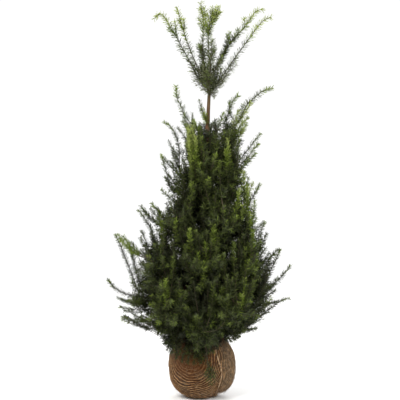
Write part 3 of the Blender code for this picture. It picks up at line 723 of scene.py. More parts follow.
for name, place, scale, detail, roughness in (
    ("fibres", fibrePlace, 1.0, 6.0, 0.7), ("breaks", breakPlace, 1.0, 2.0, 0.5),
    ("patches", objectPlace, 13.0, 3.0, 0.5), ("smudges", objectPlace, 70.0, 3.0, 0.5),
):
    effects[name] = addNode(jute, "ShaderNodeTexNoise", {
        "Vector": place, "Scale": scale, "Detail": detail, "Roughness": roughness}).outputs["Fac"]
for name, *numbers in (  # how strong an effect is: by what, from where to where, and its strength at both
    ("ridged", towardEye, 0.04, 0.125, 0.10, 1.0),
    ("breaks", effects["breaks"], 0.34, 0.60, 0.45, 1.2),
    ("lobePaintedReliefShare", acrossBall, 0.085, 0.11, 1.0, 0.45),  # the smaller lobe has weaker painted highlight and shade on its ridges, and is blotched and dusty
    ("blotched", acrossBall, 0.085, 0.11, 1.0, 2.8),
    ("lobeDust", acrossBall, 0.085, 0.11, 0.0, 0.42),
    ("smudges", effects["smudges"], 0.3, 0.7, -0.16, 0.16),
    # painted shade in the gaps between yarns, with the yarns' middles a little lighter
    ("paintedYarnGapShade", yarns, 0.15, 0.75, 0.07, -0.09),
    ("dust", effects["patches"], 0.50, 0.70, 0.0, 0.3),
    ("tan", towardEye, 0.05, 0.13, 0.6, 0.0),
):
    sockets = dict(zip(("Value", "From Min", "From Max", "To Min", "To Max"), numbers))
    effects[name] = addNode(jute, "ShaderNodeMapRange", sockets).outputs["Result"]
# The tone follows the ridges' height and the gaps between yarns: painted highlight on the crests, painted shade in
# the grooves and gaps.
for name, operation, *given in (  # the sums that give the tone of the yarn and the height of the weave
    ("crest", "PINGPONG", "overRidges", 0.5),
    ("crest", "MULTIPLY", "crest", 2.0),
    ("crest", "POWER", "crest", 2.0),
    ("crest", "SUBTRACT", "crest", 0.34),
    ("ridged", "MULTIPLY", "ridged", "lobePaintedReliefShare"),
    ("ridged", "MULTIPLY", "ridged", "breaks"),
    ("crest", "MULTIPLY", "crest", "ridged"),
    ("smudges", "MULTIPLY", "smudges", "blotched"),
    ("crest", "ADD", "crest", "smudges"),
    ("tone", "MULTIPLY_ADD", "crest", 0.78, "fibres"),
    ("tone", "ADD", "tone", "paintedYarnGapShade"),
    ("dust", "MAXIMUM", "dust", "lobeDust"),
    ("warp", "MULTIPLY", "alongRidge", 2 * math.pi * yarnsAlong),
    ("warp", "SINE", "warp"),
    ("weft", "MULTIPLY", "overRidges", 2 * math.pi * yarnsToRidge),
    ("weft", "SINE", "weft"),
    ("weave", "MULTIPLY", "warp", "weft"),
    ("weave", "MULTIPLY_ADD", "yarns", 1.2, "weave"),
):
    sockets = {number: effects.get(value, value) for number, value in enumerate(given)}
    effects[name] = addNode(jute, "ShaderNodeMath", sockets, operation=operation).outputs["Value"]
# The ramp's dark end is painted shade and its pale end a painted highlight, with the yarn's own brown between them.
yarnTone = addNode(jute, "ShaderNodeValToRGB", {"Fac": effects["tone"]}, stops=(
    (0.20, hessian["shade"]), (0.92, hessian["paintedCrestHighlight"]), (0.48, hessian["yarn"])))
dusted = addNode(jute, "ShaderNodeMix", {
    "Factor": effects["dust"], 6: yarnTone.outputs["Color"], 7: linear(hessian["dusty"])}, data_type="RGBA")
tanned = addNode(jute, "ShaderNodeMix", {
    "Factor": effects["tan"], 6: dusted.outputs[2], 7: linear(hessian["tan"])}, data_type="RGBA")
linkTo(jute, shader, "Base Color", tanned.outputs[2])
weave = addNode(jute, "ShaderNodeBump", {"Height": effects["weave"], "Strength": 0.7, "Distance": 0.0011})
fuzz = addNode(jute, "ShaderNodeBump", {
    "Height": effects["fibres"], "Strength": 1.0, "Distance": 0.0024, "Normal": weave.outputs["Normal"]})
linkTo(jute, shader, "Normal", fuzz.outputs["Normal"])
wrap = hessianWrap()
report("made the hessian")


def asArray(path):
    return np.array([tuple(point) for point in path])


def unit(vectors):
    return vectors / np.maximum(np.linalg.norm(vectors, axis=-1, keepdims=True), 1e-9)


# The directions from a tube's middle to its corners, for each station.
def ringRound(side, over, sides):
    angles = 2 * np.pi * np.arange(sides) / sides
    return np.cos(angles)[None, :, None] * side[:, None] + np.sin(angles)[None, :, None] * over[:, None]


# Closed tapering tubes along paths, all in one set of arrays. Each row is a path, its radii and a direction that
# its first corner leans to.
def tubeArrays(rows, sides):
    points, corners, sizes, offset = [], [], [], 0
    for path, radii, normal in rows:
        count = len(path)
        ahead = unit(np.gradient(path, axis=0))
        side = unit(np.cross(ahead, normal))
        ring = ringRound(side, np.cross(ahead, side), sides)
        points.append((path[:, None] + np.linspace(*radii, count)[:, None, None] * ring).reshape(-1, 3))
        first = offset + np.arange(count - 1)[:, None] * sides + np.arange(sides)[None]
        after = offset + np.arange(count - 1)[:, None] * sides + (np.arange(sides)[None] + 1) % sides
        corners.append(np.stack([first, after, after + sides, first + sides], axis=-1).reshape(-1))
        corners.append(offset + (count - 1) * sides + np.arange(sides))
        corners.append(offset + np.arange(sides)[::-1])
        sizes.append(np.full((count - 1) * sides, 4))
        sizes.append(np.array([sides, sides]))
        offset += count * sides
    return np.concatenate(points), np.concatenate(corners), np.concatenate(sizes)


# Loose jute hairs that stand off the cloth, thickest on the smaller lobe.
looseJute, shader = newMaterial("frayedJuteFibre", {"Roughness": 0.9})
mottle(looseJute, shader, 240.0, 2.0, (0.38, "#4a3524"), (0.64, "#b39a7c"))


def juteHairs():
    rng = random.Random(seed)
    rows = []
    while len(rows) < hessian["hairs"]:
        angle, share = rng.uniform(-math.pi, math.pi), rng.uniform(0.10, 0.90)
        point = wrapPoint(angle, share)
        onLobe = point.x > grooveX(point.z)
        if not onLobe and rng.random() < hessian["thinned"]:
            continue
        outward = (point - ball["centre"]).normalized()
        tangent = outward.cross(Vector((rng.gauss(0, 1), rng.gauss(0, 1), rng.gauss(0, 1)))).normalized()
        length = hessian["hairLength"] * rng.uniform(0.5, 1.4)
        root = point - outward * 0.001
        control = root + (outward * 0.5 + tangent * 0.4) * length
        tip = root + (outward * rng.uniform(0.1, 0.5) + tangent) * length
        tip.z = max(tip.z, 0.002)
        control.z = max(control.z, 0.002)
        rows.append((asArray(arcBetween(root, control, tip, 4)), (hessian["hairRadius"], 0.0001), np.array(outward)))
    piece = meshObject("juteHairs", *tubeArrays(rows, 3), looseJute, "hessian")
    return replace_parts(piece, "hessian_wrap")


juteHairs()

# The cord: two pale strands laid round each other, drawn tight round the ball where its lobes meet.
cordForm = {
    "strandRadius": 0.0014, "lay": 0.013, "laid": 0.9, "stations": 420, "sides": 7, "stand": 0.0022, "startX": 0.085,
    "smoothings": 6,
}


def bindingCord():
    skin = BVHTree.FromObject(wrap, bpy.context.evaluated_depsgraph_get())
    centreLine = []
    for step in range(cordForm["stations"]):
        turn = 2 * math.pi * step / cordForm["stations"]
        ahead, across = Vector((0, -math.cos(turn), math.sin(turn))), cordForm["startX"]
        for _ in range(4):
            hub = Vector((across, 0, ball["centre"].z))
            found = skin.ray_cast(hub + ahead * 0.3, -ahead)[0]
            if not found:
                break
            across = grooveX(found.z)
        if found:
            lifted = found + (found - ball["centre"]).normalized() * cordForm["stand"]
            lifted.z = max(lifted.z, 2.2 * cordForm["strandRadius"])
            centreLine.append(lifted)
    line = asArray(centreLine)
    for _ in range(cordForm["smoothings"]):
        line = (np.roll(line, 1, axis=0) + 2 * line + np.roll(line, -1, axis=0)) / 4
    ahead = unit(np.roll(line, -1, axis=0) - np.roll(line, 1, axis=0))
    side = unit(np.cross(ahead, unit(line - np.array(ball["centre"]))))
    over = np.cross(ahead, side)
    length = np.linalg.norm(np.roll(line, -1, axis=0) - line, axis=1).sum()
    turns = round(length / cordForm["lay"])
    count, sides, points, corners = len(line), cordForm["sides"], [], []
    for strand in (0, math.pi):
        lay = strand + 2 * np.pi * turns * np.arange(count) / count
        aside = np.cos(lay)[:, None] * side + np.sin(lay)[:, None] * over
        centres = line + cordForm["strandRadius"] * cordForm["laid"] * aside
        ring = ringRound(side, over, sides)
        start = len(points) * count * sides
        points.append((centres[:, None] + cordForm["strandRadius"] * ring).reshape(-1, 3))
        station = start + np.arange(count)[:, None] * sides
        nextStation = start + (np.arange(count)[:, None] + 1) % count * sides
        corner, beside = np.arange(sides)[None], (np.arange(sides)[None] + 1) % sides
        quads = [station + corner, station + beside, nextStation + beside, nextStation + corner]
        corners.append(np.stack(quads, axis=-1).reshape(-1))
    corners = np.concatenate(corners)
    sizes = np.full(len(corners) // 4, 4)
    piece = meshObject("twistedCord", np.concatenate(points), corners, sizes, cordJute, "jute_cord", True)
    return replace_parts(piece, "binding_cord")


cordJute, shader = newMaterial("laidJuteTwine", {"Roughness": 0.85})
mottle(cordJute, shader, 90.0, 3.0, (0.40, "#7d6044"), (0.60, "#c6a883"))
bindingCord()

# The soil inside the wrap: dark, crumbly loam.
loam, shader = newMaterial("crumblyLoam", {"Roughness": 1.0})
crumbs = mottle(loam, shader, 160.0, 4.0, (0.0, "#241812"), (1.0, "#523a29"))
crumbBump = addNode(loam, "ShaderNodeBump", {"Height": crumbs, "Strength": 0.7, "Distance": 0.002})
linkTo(loam, shader, "Normal", crumbBump.outputs["Normal"])
nodes["soil_ball"].data.materials.clear()
nodes["soil_ball"].data.materials.append(loam)
report("made the hairs, the cord and the soil")

# From here the rule is carried on to finer shoots. Each twig is a path with its radii, the share of it that is
# bare, the way its spray faces and its colour: tone is how light its older needles are, and for most twigs it also
# carries painted shade deep and low in the crown and painted light high up; flush is how far back from its tip the
# fresh growth of the year runs.
fineGrowth = {
    "heartRoot": 0.85, "subPitch": 0.015, "subLength": 0.046, "subSplay": 40, "overreach": 1.06, "barkMargin": 0.006,
    "facingTop": 1.38, "brightReach": 0.06, "brightShare": 0.7, "deepShadedTone": 0.08, "outerTone": 0.20,
    "toneChance": (-0.05, 0.06), "subRoll": 0.75, "subSplaySpread": 9, "subTaper": 0.5, "subOnward": 0.15,
    "subRise": 0.22, "shortened": 0.6,
}
plumeForm = {
    "count": 780, "lowest": 0.29, "highest": 1.245, "length": (0.12, 0.21), "slopeSpread": 9, "steeper": 12,
    "frontSteeper": 20, "innerSteeper": 10, "steepest": 86, "innerShare": 0.42, "inner": (0.12, 0.78),
    "outer": (0.80, 1.0), "heartCount": 110, "heartFoot": 0.42, "heartRise": 0.75, "heart": (0.06, 0.45),
    "heartSlope": 84, "heartLength": (0.10, 0.15), "skirtCount": 150, "skirtHeight": 0.305, "skirtDrop": 0.125,
    "skirtSlope": (-62, -25), "skirtLength": (0.09, 0.14), "clumpCount": 40, "clumpHeight": (1.345, 1.44),
    "clumpLength": (0.05, 0.11),
}
leafyOutline = (  # how far the foliage reaches: height and half width
    (0.15, 0.21), (0.25, 0.19), (0.28, 0.185), (0.33, 0.25), (0.38, 0.29), (0.44, 0.31), (0.54, 0.31), (0.65, 0.295),
    (0.76, 0.25), (0.87, 0.20), (0.98, 0.175), (1.10, 0.160), (1.20, 0.148), (1.28, 0.12), (1.33, 0.08),
)
standingTips = (  # tips that stand out in the photo, by outline or colour: place, leafy length and fresh share
    (-0.027, -0.125, 1.210, 0.17, 1.0), (-0.045, -0.130, 1.190, 0.15, 0.9), (-0.020, -0.150, 1.090, 0.16, 0.4),
    (-0.035, -0.155, 1.020, 0.14, 0.3), (-0.015, -0.150, 1.160, 0.16, 0.8), (-0.040, -0.140, 1.140, 0.15, 1.0),
    (-0.030, -0.165, 0.960, 0.14, 0.4), (-0.290, 0.010, 0.345, 0.12, 0.3), (-0.270, -0.040, 0.352, 0.12, 0.3),
    (-0.265, -0.090, 0.368, 0.12, 0.2), (-0.300, 0.040, 0.365, 0.12, 0.2), (0.178, -0.030, 1.284, 0.12, 0.9),
    (0.200, -0.010, 1.200, 0.12, 0.7), (0.198, -0.090, 1.010, 0.13, 0.7), (0.240, -0.060, 0.960, 0.12, 0.9),
    (0.245, -0.090, 0.880, 0.13, 0.7), (0.255, -0.070, 0.800, 0.13, 0.7), (0.235, -0.120, 0.750, 0.12, 0.7),
    (0.270, -0.060, 0.700, 0.11, 0.6), (-0.040, -0.235, 0.760, 0.17, 0.8), (0.063, -0.225, 0.775, 0.17, 0.8),
    (-0.005, -0.250, 0.660, 0.12, 0.6), (0.030, -0.240, 0.700, 0.13, 0.8), (0.198, -0.210, 0.545, 0.10, 0.9),
    (0.185, -0.225, 0.480, 0.09, 0.9), (-0.140, -0.250, 0.547, 0.12, 0.8), (-0.100, -0.190, 0.800, 0.12, 0.6),
    (-0.160, -0.120, 0.760, 0.12, 0.6), (-0.095, 0.020, 1.213, 0.12, 0.2), (-0.135, -0.020, 1.150, 0.12, 0.1),
    (-0.122, 0.030, 1.109, 0.10, 0.1), (-0.158, -0.030, 1.073, 0.10, 0.3), (-0.155, 0.000, 0.985, 0.12, 0.2),
    (-0.166, -0.030, 0.930, 0.12, 0.5), (0.140, 0.030, 1.330, 0.09, 0.3), (0.232, -0.040, 1.316, 0.12, 0.9),
    (0.220, 0.030, 1.258, 0.10, 0.6), (0.198, -0.050, 1.235, 0.09, 0.6), (0.265, -0.020, 1.138, 0.13, 0.4),
    (0.256, 0.030, 1.096, 0.11, 0.4), (0.216, -0.050, 1.064, 0.10, 0.5), (-0.265, 0.000, 0.715, 0.12, 0.3),
    (-0.261, -0.030, 0.857, 0.14, 0.4), (-0.220, 0.040, 0.844, 0.14, 0.2), (-0.189, -0.040, 0.848, 0.13, 0.3),
    (-0.360, -0.050, 0.729, 0.14, 0.9), (-0.345, -0.060, 0.705, 0.12, 0.9), (-0.306, 0.030, 0.691, 0.12, 0.4),
    (-0.252, -0.060, 0.745, 0.11, 0.3), (-0.365, -0.020, 0.447, 0.14, 0.3), (-0.352, 0.040, 0.432, 0.13, 0.3),
    (-0.351, -0.050, 0.407, 0.13, 0.3), (-0.338, 0.040, 0.380, 0.13, 0.3), (-0.342, -0.060, 0.368, 0.13, 0.3),
    (-0.324, -0.030, 0.434, 0.13, 0.3), (0.351, -0.050, 0.664, 0.11, 0.3), (0.328, 0.030, 0.628, 0.11, 0.3),
    (0.350, -0.030, 0.432, 0.11, 0.2), (0.342, 0.030, 0.420, 0.13, 0.2), (0.310, -0.060, 0.388, 0.13, 0.2),
    (0.256, -0.030, 0.312, 0.10, 0.2), (-0.118, -0.120, 0.215, 0.09, 0.1), (-0.098, -0.140, 0.195, 0.09, 0.1),
    (-0.075, -0.155, 0.183, 0.10, 0.1), (-0.110, -0.135, 0.235, 0.09, 0.1), (-0.050, -0.165, 0.178, 0.10, 0.1),
    (-0.085, -0.150, 0.215, 0.10, 0.1), (-0.020, -0.172, 0.176, 0.10, 0.1), (0.010, -0.176, 0.180, 0.10, 0.1),
    (0.292, -0.020, 0.785, 0.10, 0.5), (0.306, 0.020, 0.731, 0.10, 0.4), (-0.045, -0.115, 1.208, 0.12, 0.8),
    (-0.030, -0.140, 1.115, 0.14, 0.5), (0.000, -0.100, 1.200, 0.10, 0.5), (0.110, -0.010, 1.272, 0.10, 0.3),
    (0.122, 0.020, 1.260, 0.10, 0.3), (0.126, -0.120, 1.150, 0.13, 0.8), (0.118, -0.125, 1.105, 0.12, 0.6),
    (0.215, -0.100, 0.940, 0.13, 0.8), (0.190, -0.130, 0.860, 0.13, 0.8), (0.222, -0.110, 0.830, 0.12, 0.8),
    (0.175, -0.140, 0.930, 0.13, 0.8), (0.255, -0.100, 0.620, 0.12, 0.7), (0.225, -0.140, 0.680, 0.12, 0.7),
    (0.240, -0.130, 0.560, 0.12, 0.6), (0.200, -0.160, 0.620, 0.12, 0.6), (0.215, 0.000, 1.225, 0.11, 0.6),
    (0.222, -0.020, 0.955, 0.11, 0.7), (-0.135, -0.060, 0.225, 0.09, 0.1), (-0.142, -0.030, 0.212, 0.09, 0.1),
    (-0.128, -0.090, 0.205, 0.09, 0.1), (-0.150, -0.020, 0.240, 0.09, 0.1), (-0.068, 0.020, 1.258, 0.12, 0.3),
    (-0.060, -0.020, 1.222, 0.12, 0.3), (-0.118, -0.020, 1.085, 0.10, 0.2), (-0.128, 0.010, 1.060, 0.10, 0.2),
    (-0.115, -0.030, 1.005, 0.10, 0.2), (-0.136, -0.010, 0.995, 0.10, 0.2), (0.335, -0.020, 0.505, 0.10, 0.2),
    (0.345, 0.010, 0.475, 0.10, 0.2), (0.290, -0.020, 0.690, 0.10, 0.3), (0.300, 0.010, 0.665, 0.10, 0.3),
    (0.240, 0.000, 0.298, 0.09, 0.2), (0.262, 0.000, 0.306, 0.10, 0.2), (-0.235, -0.030, 0.372, 0.12, 0.3),
    (-0.260, 0.020, 0.362, 0.12, 0.3), (-0.330, -0.020, 0.362, 0.12, 0.3), (-0.338, -0.040, 0.722, 0.10, 0.9),
    (-0.248, -0.020, 0.835, 0.12, 0.3), (-0.073, 0.000, 1.238, 0.12, 0.3), (-0.060, -0.250, 0.690, 0.16, 0.4),
    (0.020, -0.262, 0.620, 0.15, 0.6), (0.105, -0.235, 0.655, 0.15, 0.4), (-0.110, -0.235, 0.640, 0.14, 0.4),
    (0.150, -0.215, 0.700, 0.14, 0.5), (0.060, -0.268, 0.530, 0.14, 0.3), (-0.075, -0.262, 0.500, 0.13, 0.3),
    (0.120, -0.255, 0.440, 0.12, 0.3), (-0.170, -0.225, 0.470, 0.12, 0.3), (0.160, 0.050, 0.690, 0.14, 0.3),
    (0.207, 0.050, 0.775, 0.14, 0.3), (0.222, 0.010, 0.985, 0.10, 0.6), (0.168, 0.040, 0.915, 0.14, 0.4),
    (0.160, 0.060, 0.868, 0.14, 0.3), (0.205, 0.060, 0.735, 0.13, 0.3), (-0.036, 0.376, 0.668, 0.14, 0.4),
    (0.060, 0.368, 0.630, 0.13, 0.3), (-0.120, 0.350, 0.590, 0.13, 0.3), (0.135, 0.340, 0.540, 0.13, 0.3),
    (-0.060, 0.366, 0.460, 0.13, 0.2), (0.050, 0.360, 0.425, 0.13, 0.2), (-0.165, 0.290, 0.700, 0.12, 0.4),
    (0.105, 0.285, 0.790, 0.13, 0.5), (-0.045, 0.262, 0.880, 0.13, 0.5), (0.160, 0.240, 0.720, 0.12, 0.4),
    (0.030, 0.218, 1.030, 0.12, 0.5), (-0.050, 0.185, 1.130, 0.12, 0.6), (0.080, 0.165, 1.170, 0.12, 0.6),
    (-0.190, 0.250, 0.520, 0.13, 0.3), (0.210, 0.240, 0.480, 0.13, 0.3),
)
leaderPaths = {  # how the leader's shoots run in the photo, from the fork to the tip: across and up
    "middle": (
        (0.040, 1.410), (0.018, 1.523), (0.016, 1.559), (0.019, 1.636), (0.019, 1.694), (0.012, 1.739),
        (0.008, 1.772),
    ),
    "tall": (
        (0.047, 1.410), (0.046, 1.523), (0.042, 1.559), (0.044, 1.634), (0.046, 1.672), (0.072, 1.724),
        (0.090, 1.745),
    ),
    "left": (
        (0.028, 1.410), (-0.022, 1.514), (-0.041, 1.559), (-0.063, 1.619), (-0.078, 1.664), (-0.086, 1.702),
        (-0.098, 1.739),
    ),
    "far_left": (
        (0.036, 1.385), (0.005, 1.422), (-0.026, 1.472), (-0.048, 1.522), (-0.078, 1.574), (-0.100, 1.619),
        (-0.123, 1.653), (-0.145, 1.696), (-0.166, 1.727), (-0.187, 1.724), (-0.203, 1.705),
    ),
    "right": (
        (0.052, 1.410), (0.083, 1.492), (0.117, 1.559), (0.162, 1.623), (0.207, 1.664), (0.230, 1.702),
        (0.252, 1.738), (0.275, 1.750), (0.294, 1.748),
    ),
    "far_right": (
        (0.058, 1.382), (0.085, 1.412), (0.115, 1.455), (0.140, 1.492), (0.195, 1.567), (0.225, 1.607),
        (0.254, 1.648), (0.282, 1.681), (0.305, 1.694), (0.322, 1.698),
    ),
}
tuftTips = (  # shoots on those shoots: the host, the height of their root, their tip and its freshness
    ("tall", 1.680, (0.050, 0.040, 1.742), 1.0), ("tall", 1.675, (0.078, 0.080, 1.757), 1.0),
    ("tall", 1.700, (0.098, 0.040, 1.738), 1.0), ("tall", 1.650, (0.064, 0.020, 1.716), 0.9),
    ("tall", 1.620, (0.030, 0.090, 1.690), 0.6), ("tall", 1.500, (0.068, 0.050, 1.582), 0.3),
    ("middle", 1.500, (0.000, -0.020, 1.582), 0.3), ("middle", 1.700, (0.022, 0.010, 1.750), 1.0),
    ("middle", 1.690, (0.003, -0.010, 1.745), 1.0), ("far_left", 1.620, (-0.137, 0.030, 1.662), 0.5),
    ("far_left", 1.625, (-0.112, 0.010, 1.688), 0.8), ("far_left", 1.540, (-0.090, 0.040, 1.576), 0.2),
    ("left", 1.640, (-0.092, -0.030, 1.690), 0.8), ("left", 1.640, (-0.069, -0.050, 1.688), 0.8),
    ("right", 1.480, (0.128, 0.020, 1.628), 0.3), ("right", 1.580, (0.180, 0.050, 1.662), 0.6),
    ("right", 1.660, (0.206, 0.030, 1.706), 0.8), ("far_right", 1.475, (0.170, -0.030, 1.526), 0.2),
    ("far_right", 1.450, (0.168, -0.050, 1.490), 0.2), ("far_right", 1.400, (0.125, -0.060, 1.440), 0.2),
    ("far_right", 1.400, (0.100, 0.020, 1.480), 0.2), ("far_right", 1.385, (0.098, -0.030, 1.405), 0.2),
    ("far_right", 1.379, (0.086, -0.020, 1.386), 0.2), ("far_right", 1.379, (0.071, -0.010, 1.362), 0.2),
    ("far_right", 1.385, (0.105, 0.000, 1.415), 0.2), ("far_left", 1.385, (-0.015, -0.010, 1.402), 0.2),
    ("far_left", 1.379, (0.012, -0.015, 1.378), 0.2), ("far_left", 1.385, (-0.022, 0.010, 1.420), 0.2),
    ("far_left", 1.415, (-0.040, -0.020, 1.462), 0.2), ("tall", 1.690, (0.060, 0.030, 1.756), 1.0),
    ("tall", 1.700, (0.086, 0.020, 1.758), 1.0), ("middle", 1.640, (-0.004, 0.010, 1.704), 0.9),
    ("right", 1.500, (0.138, 0.020, 1.640), 0.5), ("far_right", 1.400, (0.128, -0.020, 1.452), 0.2),
    ("far_right", 1.395, (0.120, 0.020, 1.432), 0.2), ("far_right", 1.420, (0.142, -0.030, 1.478), 0.2),
    ("trunk", 1.240, (0.003, -0.030, 1.330), 0.1), ("trunk", 1.230, (0.014, -0.030, 1.292), 0.6),
    ("trunk", 1.222, (0.026, -0.030, 1.272), 0.6), ("middle", 1.660, (0.030, 0.000, 1.722), 1.0),
    ("tall", 1.660, (0.038, 0.030, 1.725), 0.9), ("trunk", 1.210, (0.076, -0.020, 1.246), 0.1),
    ("far_right", 1.379, (0.075, -0.020, 1.352), 0.2), ("far_right", 1.379, (0.066, 0.010, 1.346), 0.2),
)
sprigTips = (  # the shoots of the sprig that hangs over the front of the ball
    (0.035, -0.190, 0.140), (0.070, -0.186, 0.105), (0.058, -0.180, 0.150), (0.077, -0.176, 0.130),
    (0.038, -0.196, 0.108), (0.050, -0.198, 0.092), (0.028, -0.190, 0.125), (0.064, -0.188, 0.120),
)


def leafyWidth(height):
    return np.interp(height, *zip(*leafyOutline))


# The upper crown is slimmer on its left, where single shoots stand free. Westward is how far left a point lies, to 1.
def leafySlimness(height, westward):
    return 1 - np.interp(height, (0.88, 1.02), (0.0, 0.40)) * np.maximum(westward, 0)


hem = (  # the lowest foliage in the photo: across and up
    (-0.40, 0.36), (-0.35, 0.352), (-0.243, 0.330), (-0.21, 0.317), (-0.17, 0.280), (-0.150, 0.230), (-0.12, 0.19),
    (0.00, 0.17), (0.095, 0.17), (0.126, 0.242), (0.171, 0.256), (0.23, 0.292), (0.30, 0.322), (0.40, 0.36),
)
sky = (  # gaps in the upper crown, beside the bare leader: from and to across, and above what height
    (-0.020, 0.100, 1.232), (0.080, 0.106, 1.185), (0.132, 0.160, 1.250),
)


# Finer shoots of neighbouring masses mingle, so they only keep clear of the wood and the ball and inside the crown.
def roomFor(points, reach=1.0):
    points = np.asarray(points, float)
    axis = np.array([tuple(axisAt(z)) for z in points[:, 2]])
    away = np.hypot(points[:, 0] - axis[:, 0], points[:, 1] - axis[:, 1])
    slimness = leafySlimness(points[:, 2], (axis[:, 0] - points[:, 0]) / np.maximum(away, 0.001))
    inside = (points[:, 2] < treeTop) & (away < leafyWidth(points[:, 2]) * slimness * reach)
    radii = np.array([trunkRadius(min(z, trunk["top"])) for z in points[:, 2]])
    inside &= (away > radii + fineGrowth["barkMargin"]) | (points[:, 2] > trunk["top"])
    inside &= points[:, 2] > np.interp(points[:, 0], *zip(*hem))
    for left, right, above in sky:
        inside &= (points[:, 0] < left) | (points[:, 0] > right) | (points[:, 2] < above)
    return inside & ~insideBall(points)


def facing(middle, ahead):
    level = Vector((middle[0] - trunkCentre(min(middle[2], fineGrowth["facingTop"])).x, middle[1], 0))
    outward = level.normalized() if level.length > 0.01 else Vector((0, -1, 0))
    normal = up * 0.8 + outward * 0.7
    normal -= ahead * normal.dot(ahead)
    return normal.normalized() if normal.length > 0.05 else sideOf(ahead)


# How fresh a shoot is: by the nearest fresh tips, or by chance.
def freshnessAt(place, rng):
    reach, share = fineGrowth["brightReach"], fineGrowth["brightShare"]
    nearBright = max(row[4] * (1 - (Vector(row[:3]) - place).length / reach) for row in standingTips)
    return max(share * nearBright, rng.random() ** 4 * share)


def crownDepth(place):
    axis = axisAt(place.z)
    return math.hypot(place.x - axis.x, place.y - axis.y) / (float(leafyWidth(place.z)) + 0.01)


# Painted shade: the deeper a shoot lies in the crown, the darker its needles' tone, standing in for the shade there.
def toneAt(place, rng):
    outer = min(crownDepth(place), 1.1)
    return fineGrowth["deepShadedTone"] + fineGrowth["outerTone"] * outer + rng.uniform(*fineGrowth["toneChance"])


# What each kind of twig is like: metres between its needles, their length, how wide they are beside life, how far
# they stand off it at its foot and its tip, how flat the spray lies, the share of it without side shoots, its radii,
# how small the last needles are, and how much lighter the fresh ones.
twigSizes = ("pitch", "needle", "wide", "splay", "flat", "brush", "radii", "tipNeedle", "glow")
twigKinds = {
    "leader": (0.00115, 0.0270, 1.2, (60, 50), 0.10, 0.35, (0.0029, 0.0009), 0.88, 0.62),
    "tuft": (0.00100, 0.0245, 1.2, (63, 46), 0.10, 0.5, (0.0018, 0.0007), 0.8, 0.62),
    "clump": (0.00190, 0.0290, 1.0, (63, 44), 0.10, 0.5, (0.0018, 0.0007), 0.7, 0.62),
    "stem": (0.00160, 0.0225, 1.0, (66, 38), 0.15, 0.35, (0.0048, 0.0010), 0.7, 0.48),
    "spray": (0.00200, 0.0225, 1.0, (66, 38), 0.35, 0.2, (0.0017, 0.0008), 0.7, 0.48),
    "outlying": (0.00080, 0.0265, 1.2, (62, 46), 0.10, 0.80, (0.0021, 0.0008), 0.8, 0.48),
    "side": (0.00120, 0.0235, 1.0, (66, 38), 0.15, 0.5, (0.0018, 0.0008), 0.7, 0.48),
    "plume": (0.00115, 0.0215, 1.05, (63, 44), 0.10, 0.55, (0.0018, 0.0007), 0.75, 0.48),
    "standing": (0.00090, 0.0205, 1.2, (60, 42), 0.10, 0.75, (0.0018, 0.0007), 0.8, 0.50),
    "spire": (0.00100, 0.0200, 1.15, (60, 44), 0.10, 0.8, (0.0016, 0.0007), 0.8, 0.48),
    "sprig": (0.00220, 0.0240, 1.0, (63, 44), 0.10, 0.9, (0.0018, 0.0007), 0.7, 0.48),
    "fine": (0.00180, 0.0225, 1.0, (66, 38), 0.50, 1.0, (0.0009, 0.0005), 0.7, 0.48),
}


def newTwig(kind, path, bare, tone, flush, freshness, **changed):
    ahead = (path[-1] - path[0]).normalized()
    return {
        **dict(zip(twigSizes, twigKinds[kind])), "kind": kind, "path": asArray(path), "bare": bare, "tone": tone,
        "flush": flush, "freshness": freshness, "normal": np.array(facing(path[len(path) // 2], ahead)), **changed,
    }


# Finer shoots along a twig's leafy part, to its left and right in the plane of the spray, shorter near its tip.
def subShoots(twig, rng, reach):
    path = [Vector(p) for p in twig["path"]]
    total = lengthOf(path)
    pitch, side, made = fineGrowth["subPitch"], 1, []
    place, end = total * twig["bare"] + pitch * rng.uniform(0.2, 0.8), total * (1 - twig["brush"])
    normal = Vector(twig["normal"])
    while place < end:
        share = place / total
        index = min(int(share * (len(path) - 1)), len(path) - 2)
        ahead = (path[index + 1] - path[index]).normalized()
        across = ahead.cross(normal).normalized()
        roll = rng.gauss(0, fineGrowth["subRoll"])
        aside = across * math.cos(roll) * side + normal * math.sin(roll)
        spread = fineGrowth["subSplaySpread"]
        splay = math.radians(fineGrowth["subSplay"] + rng.uniform(-spread, spread))
        direction = ahead * math.cos(splay) + aside * math.sin(splay)
        length = fineGrowth["subLength"] * (1 - fineGrowth["subTaper"] * share) * rng.uniform(0.7, 1.25)
        root = along(path, share)
        tip = root + direction * length + (ahead * fineGrowth["subOnward"] + up * fineGrowth["subRise"]) * length
        made.append(arcBetween(root, root + direction * length * 0.5, tip, 4))
        place += pitch * rng.uniform(0.8, 1.25)
        side = -side
    if not made:
        return []
    shorter = [[sub[0].lerp(p, fineGrowth["shortened"]) for p in sub] for sub in made]
    fits = [
        roomFor([tuple(p) for sub in subs for p in sub[1:]], reach).reshape(len(made), 3).all(axis=1)
        for subs in (made, shorter)
    ]
    return [sub if whole else short for sub, short, whole, less in zip(made, shorter, *fits) if whole or less]


# Tips in the front of the crown, which show from their feet up and stand nearly straight.
def standsClear(tip):
    return tip.y < -0.08 and tip.z > 0.4


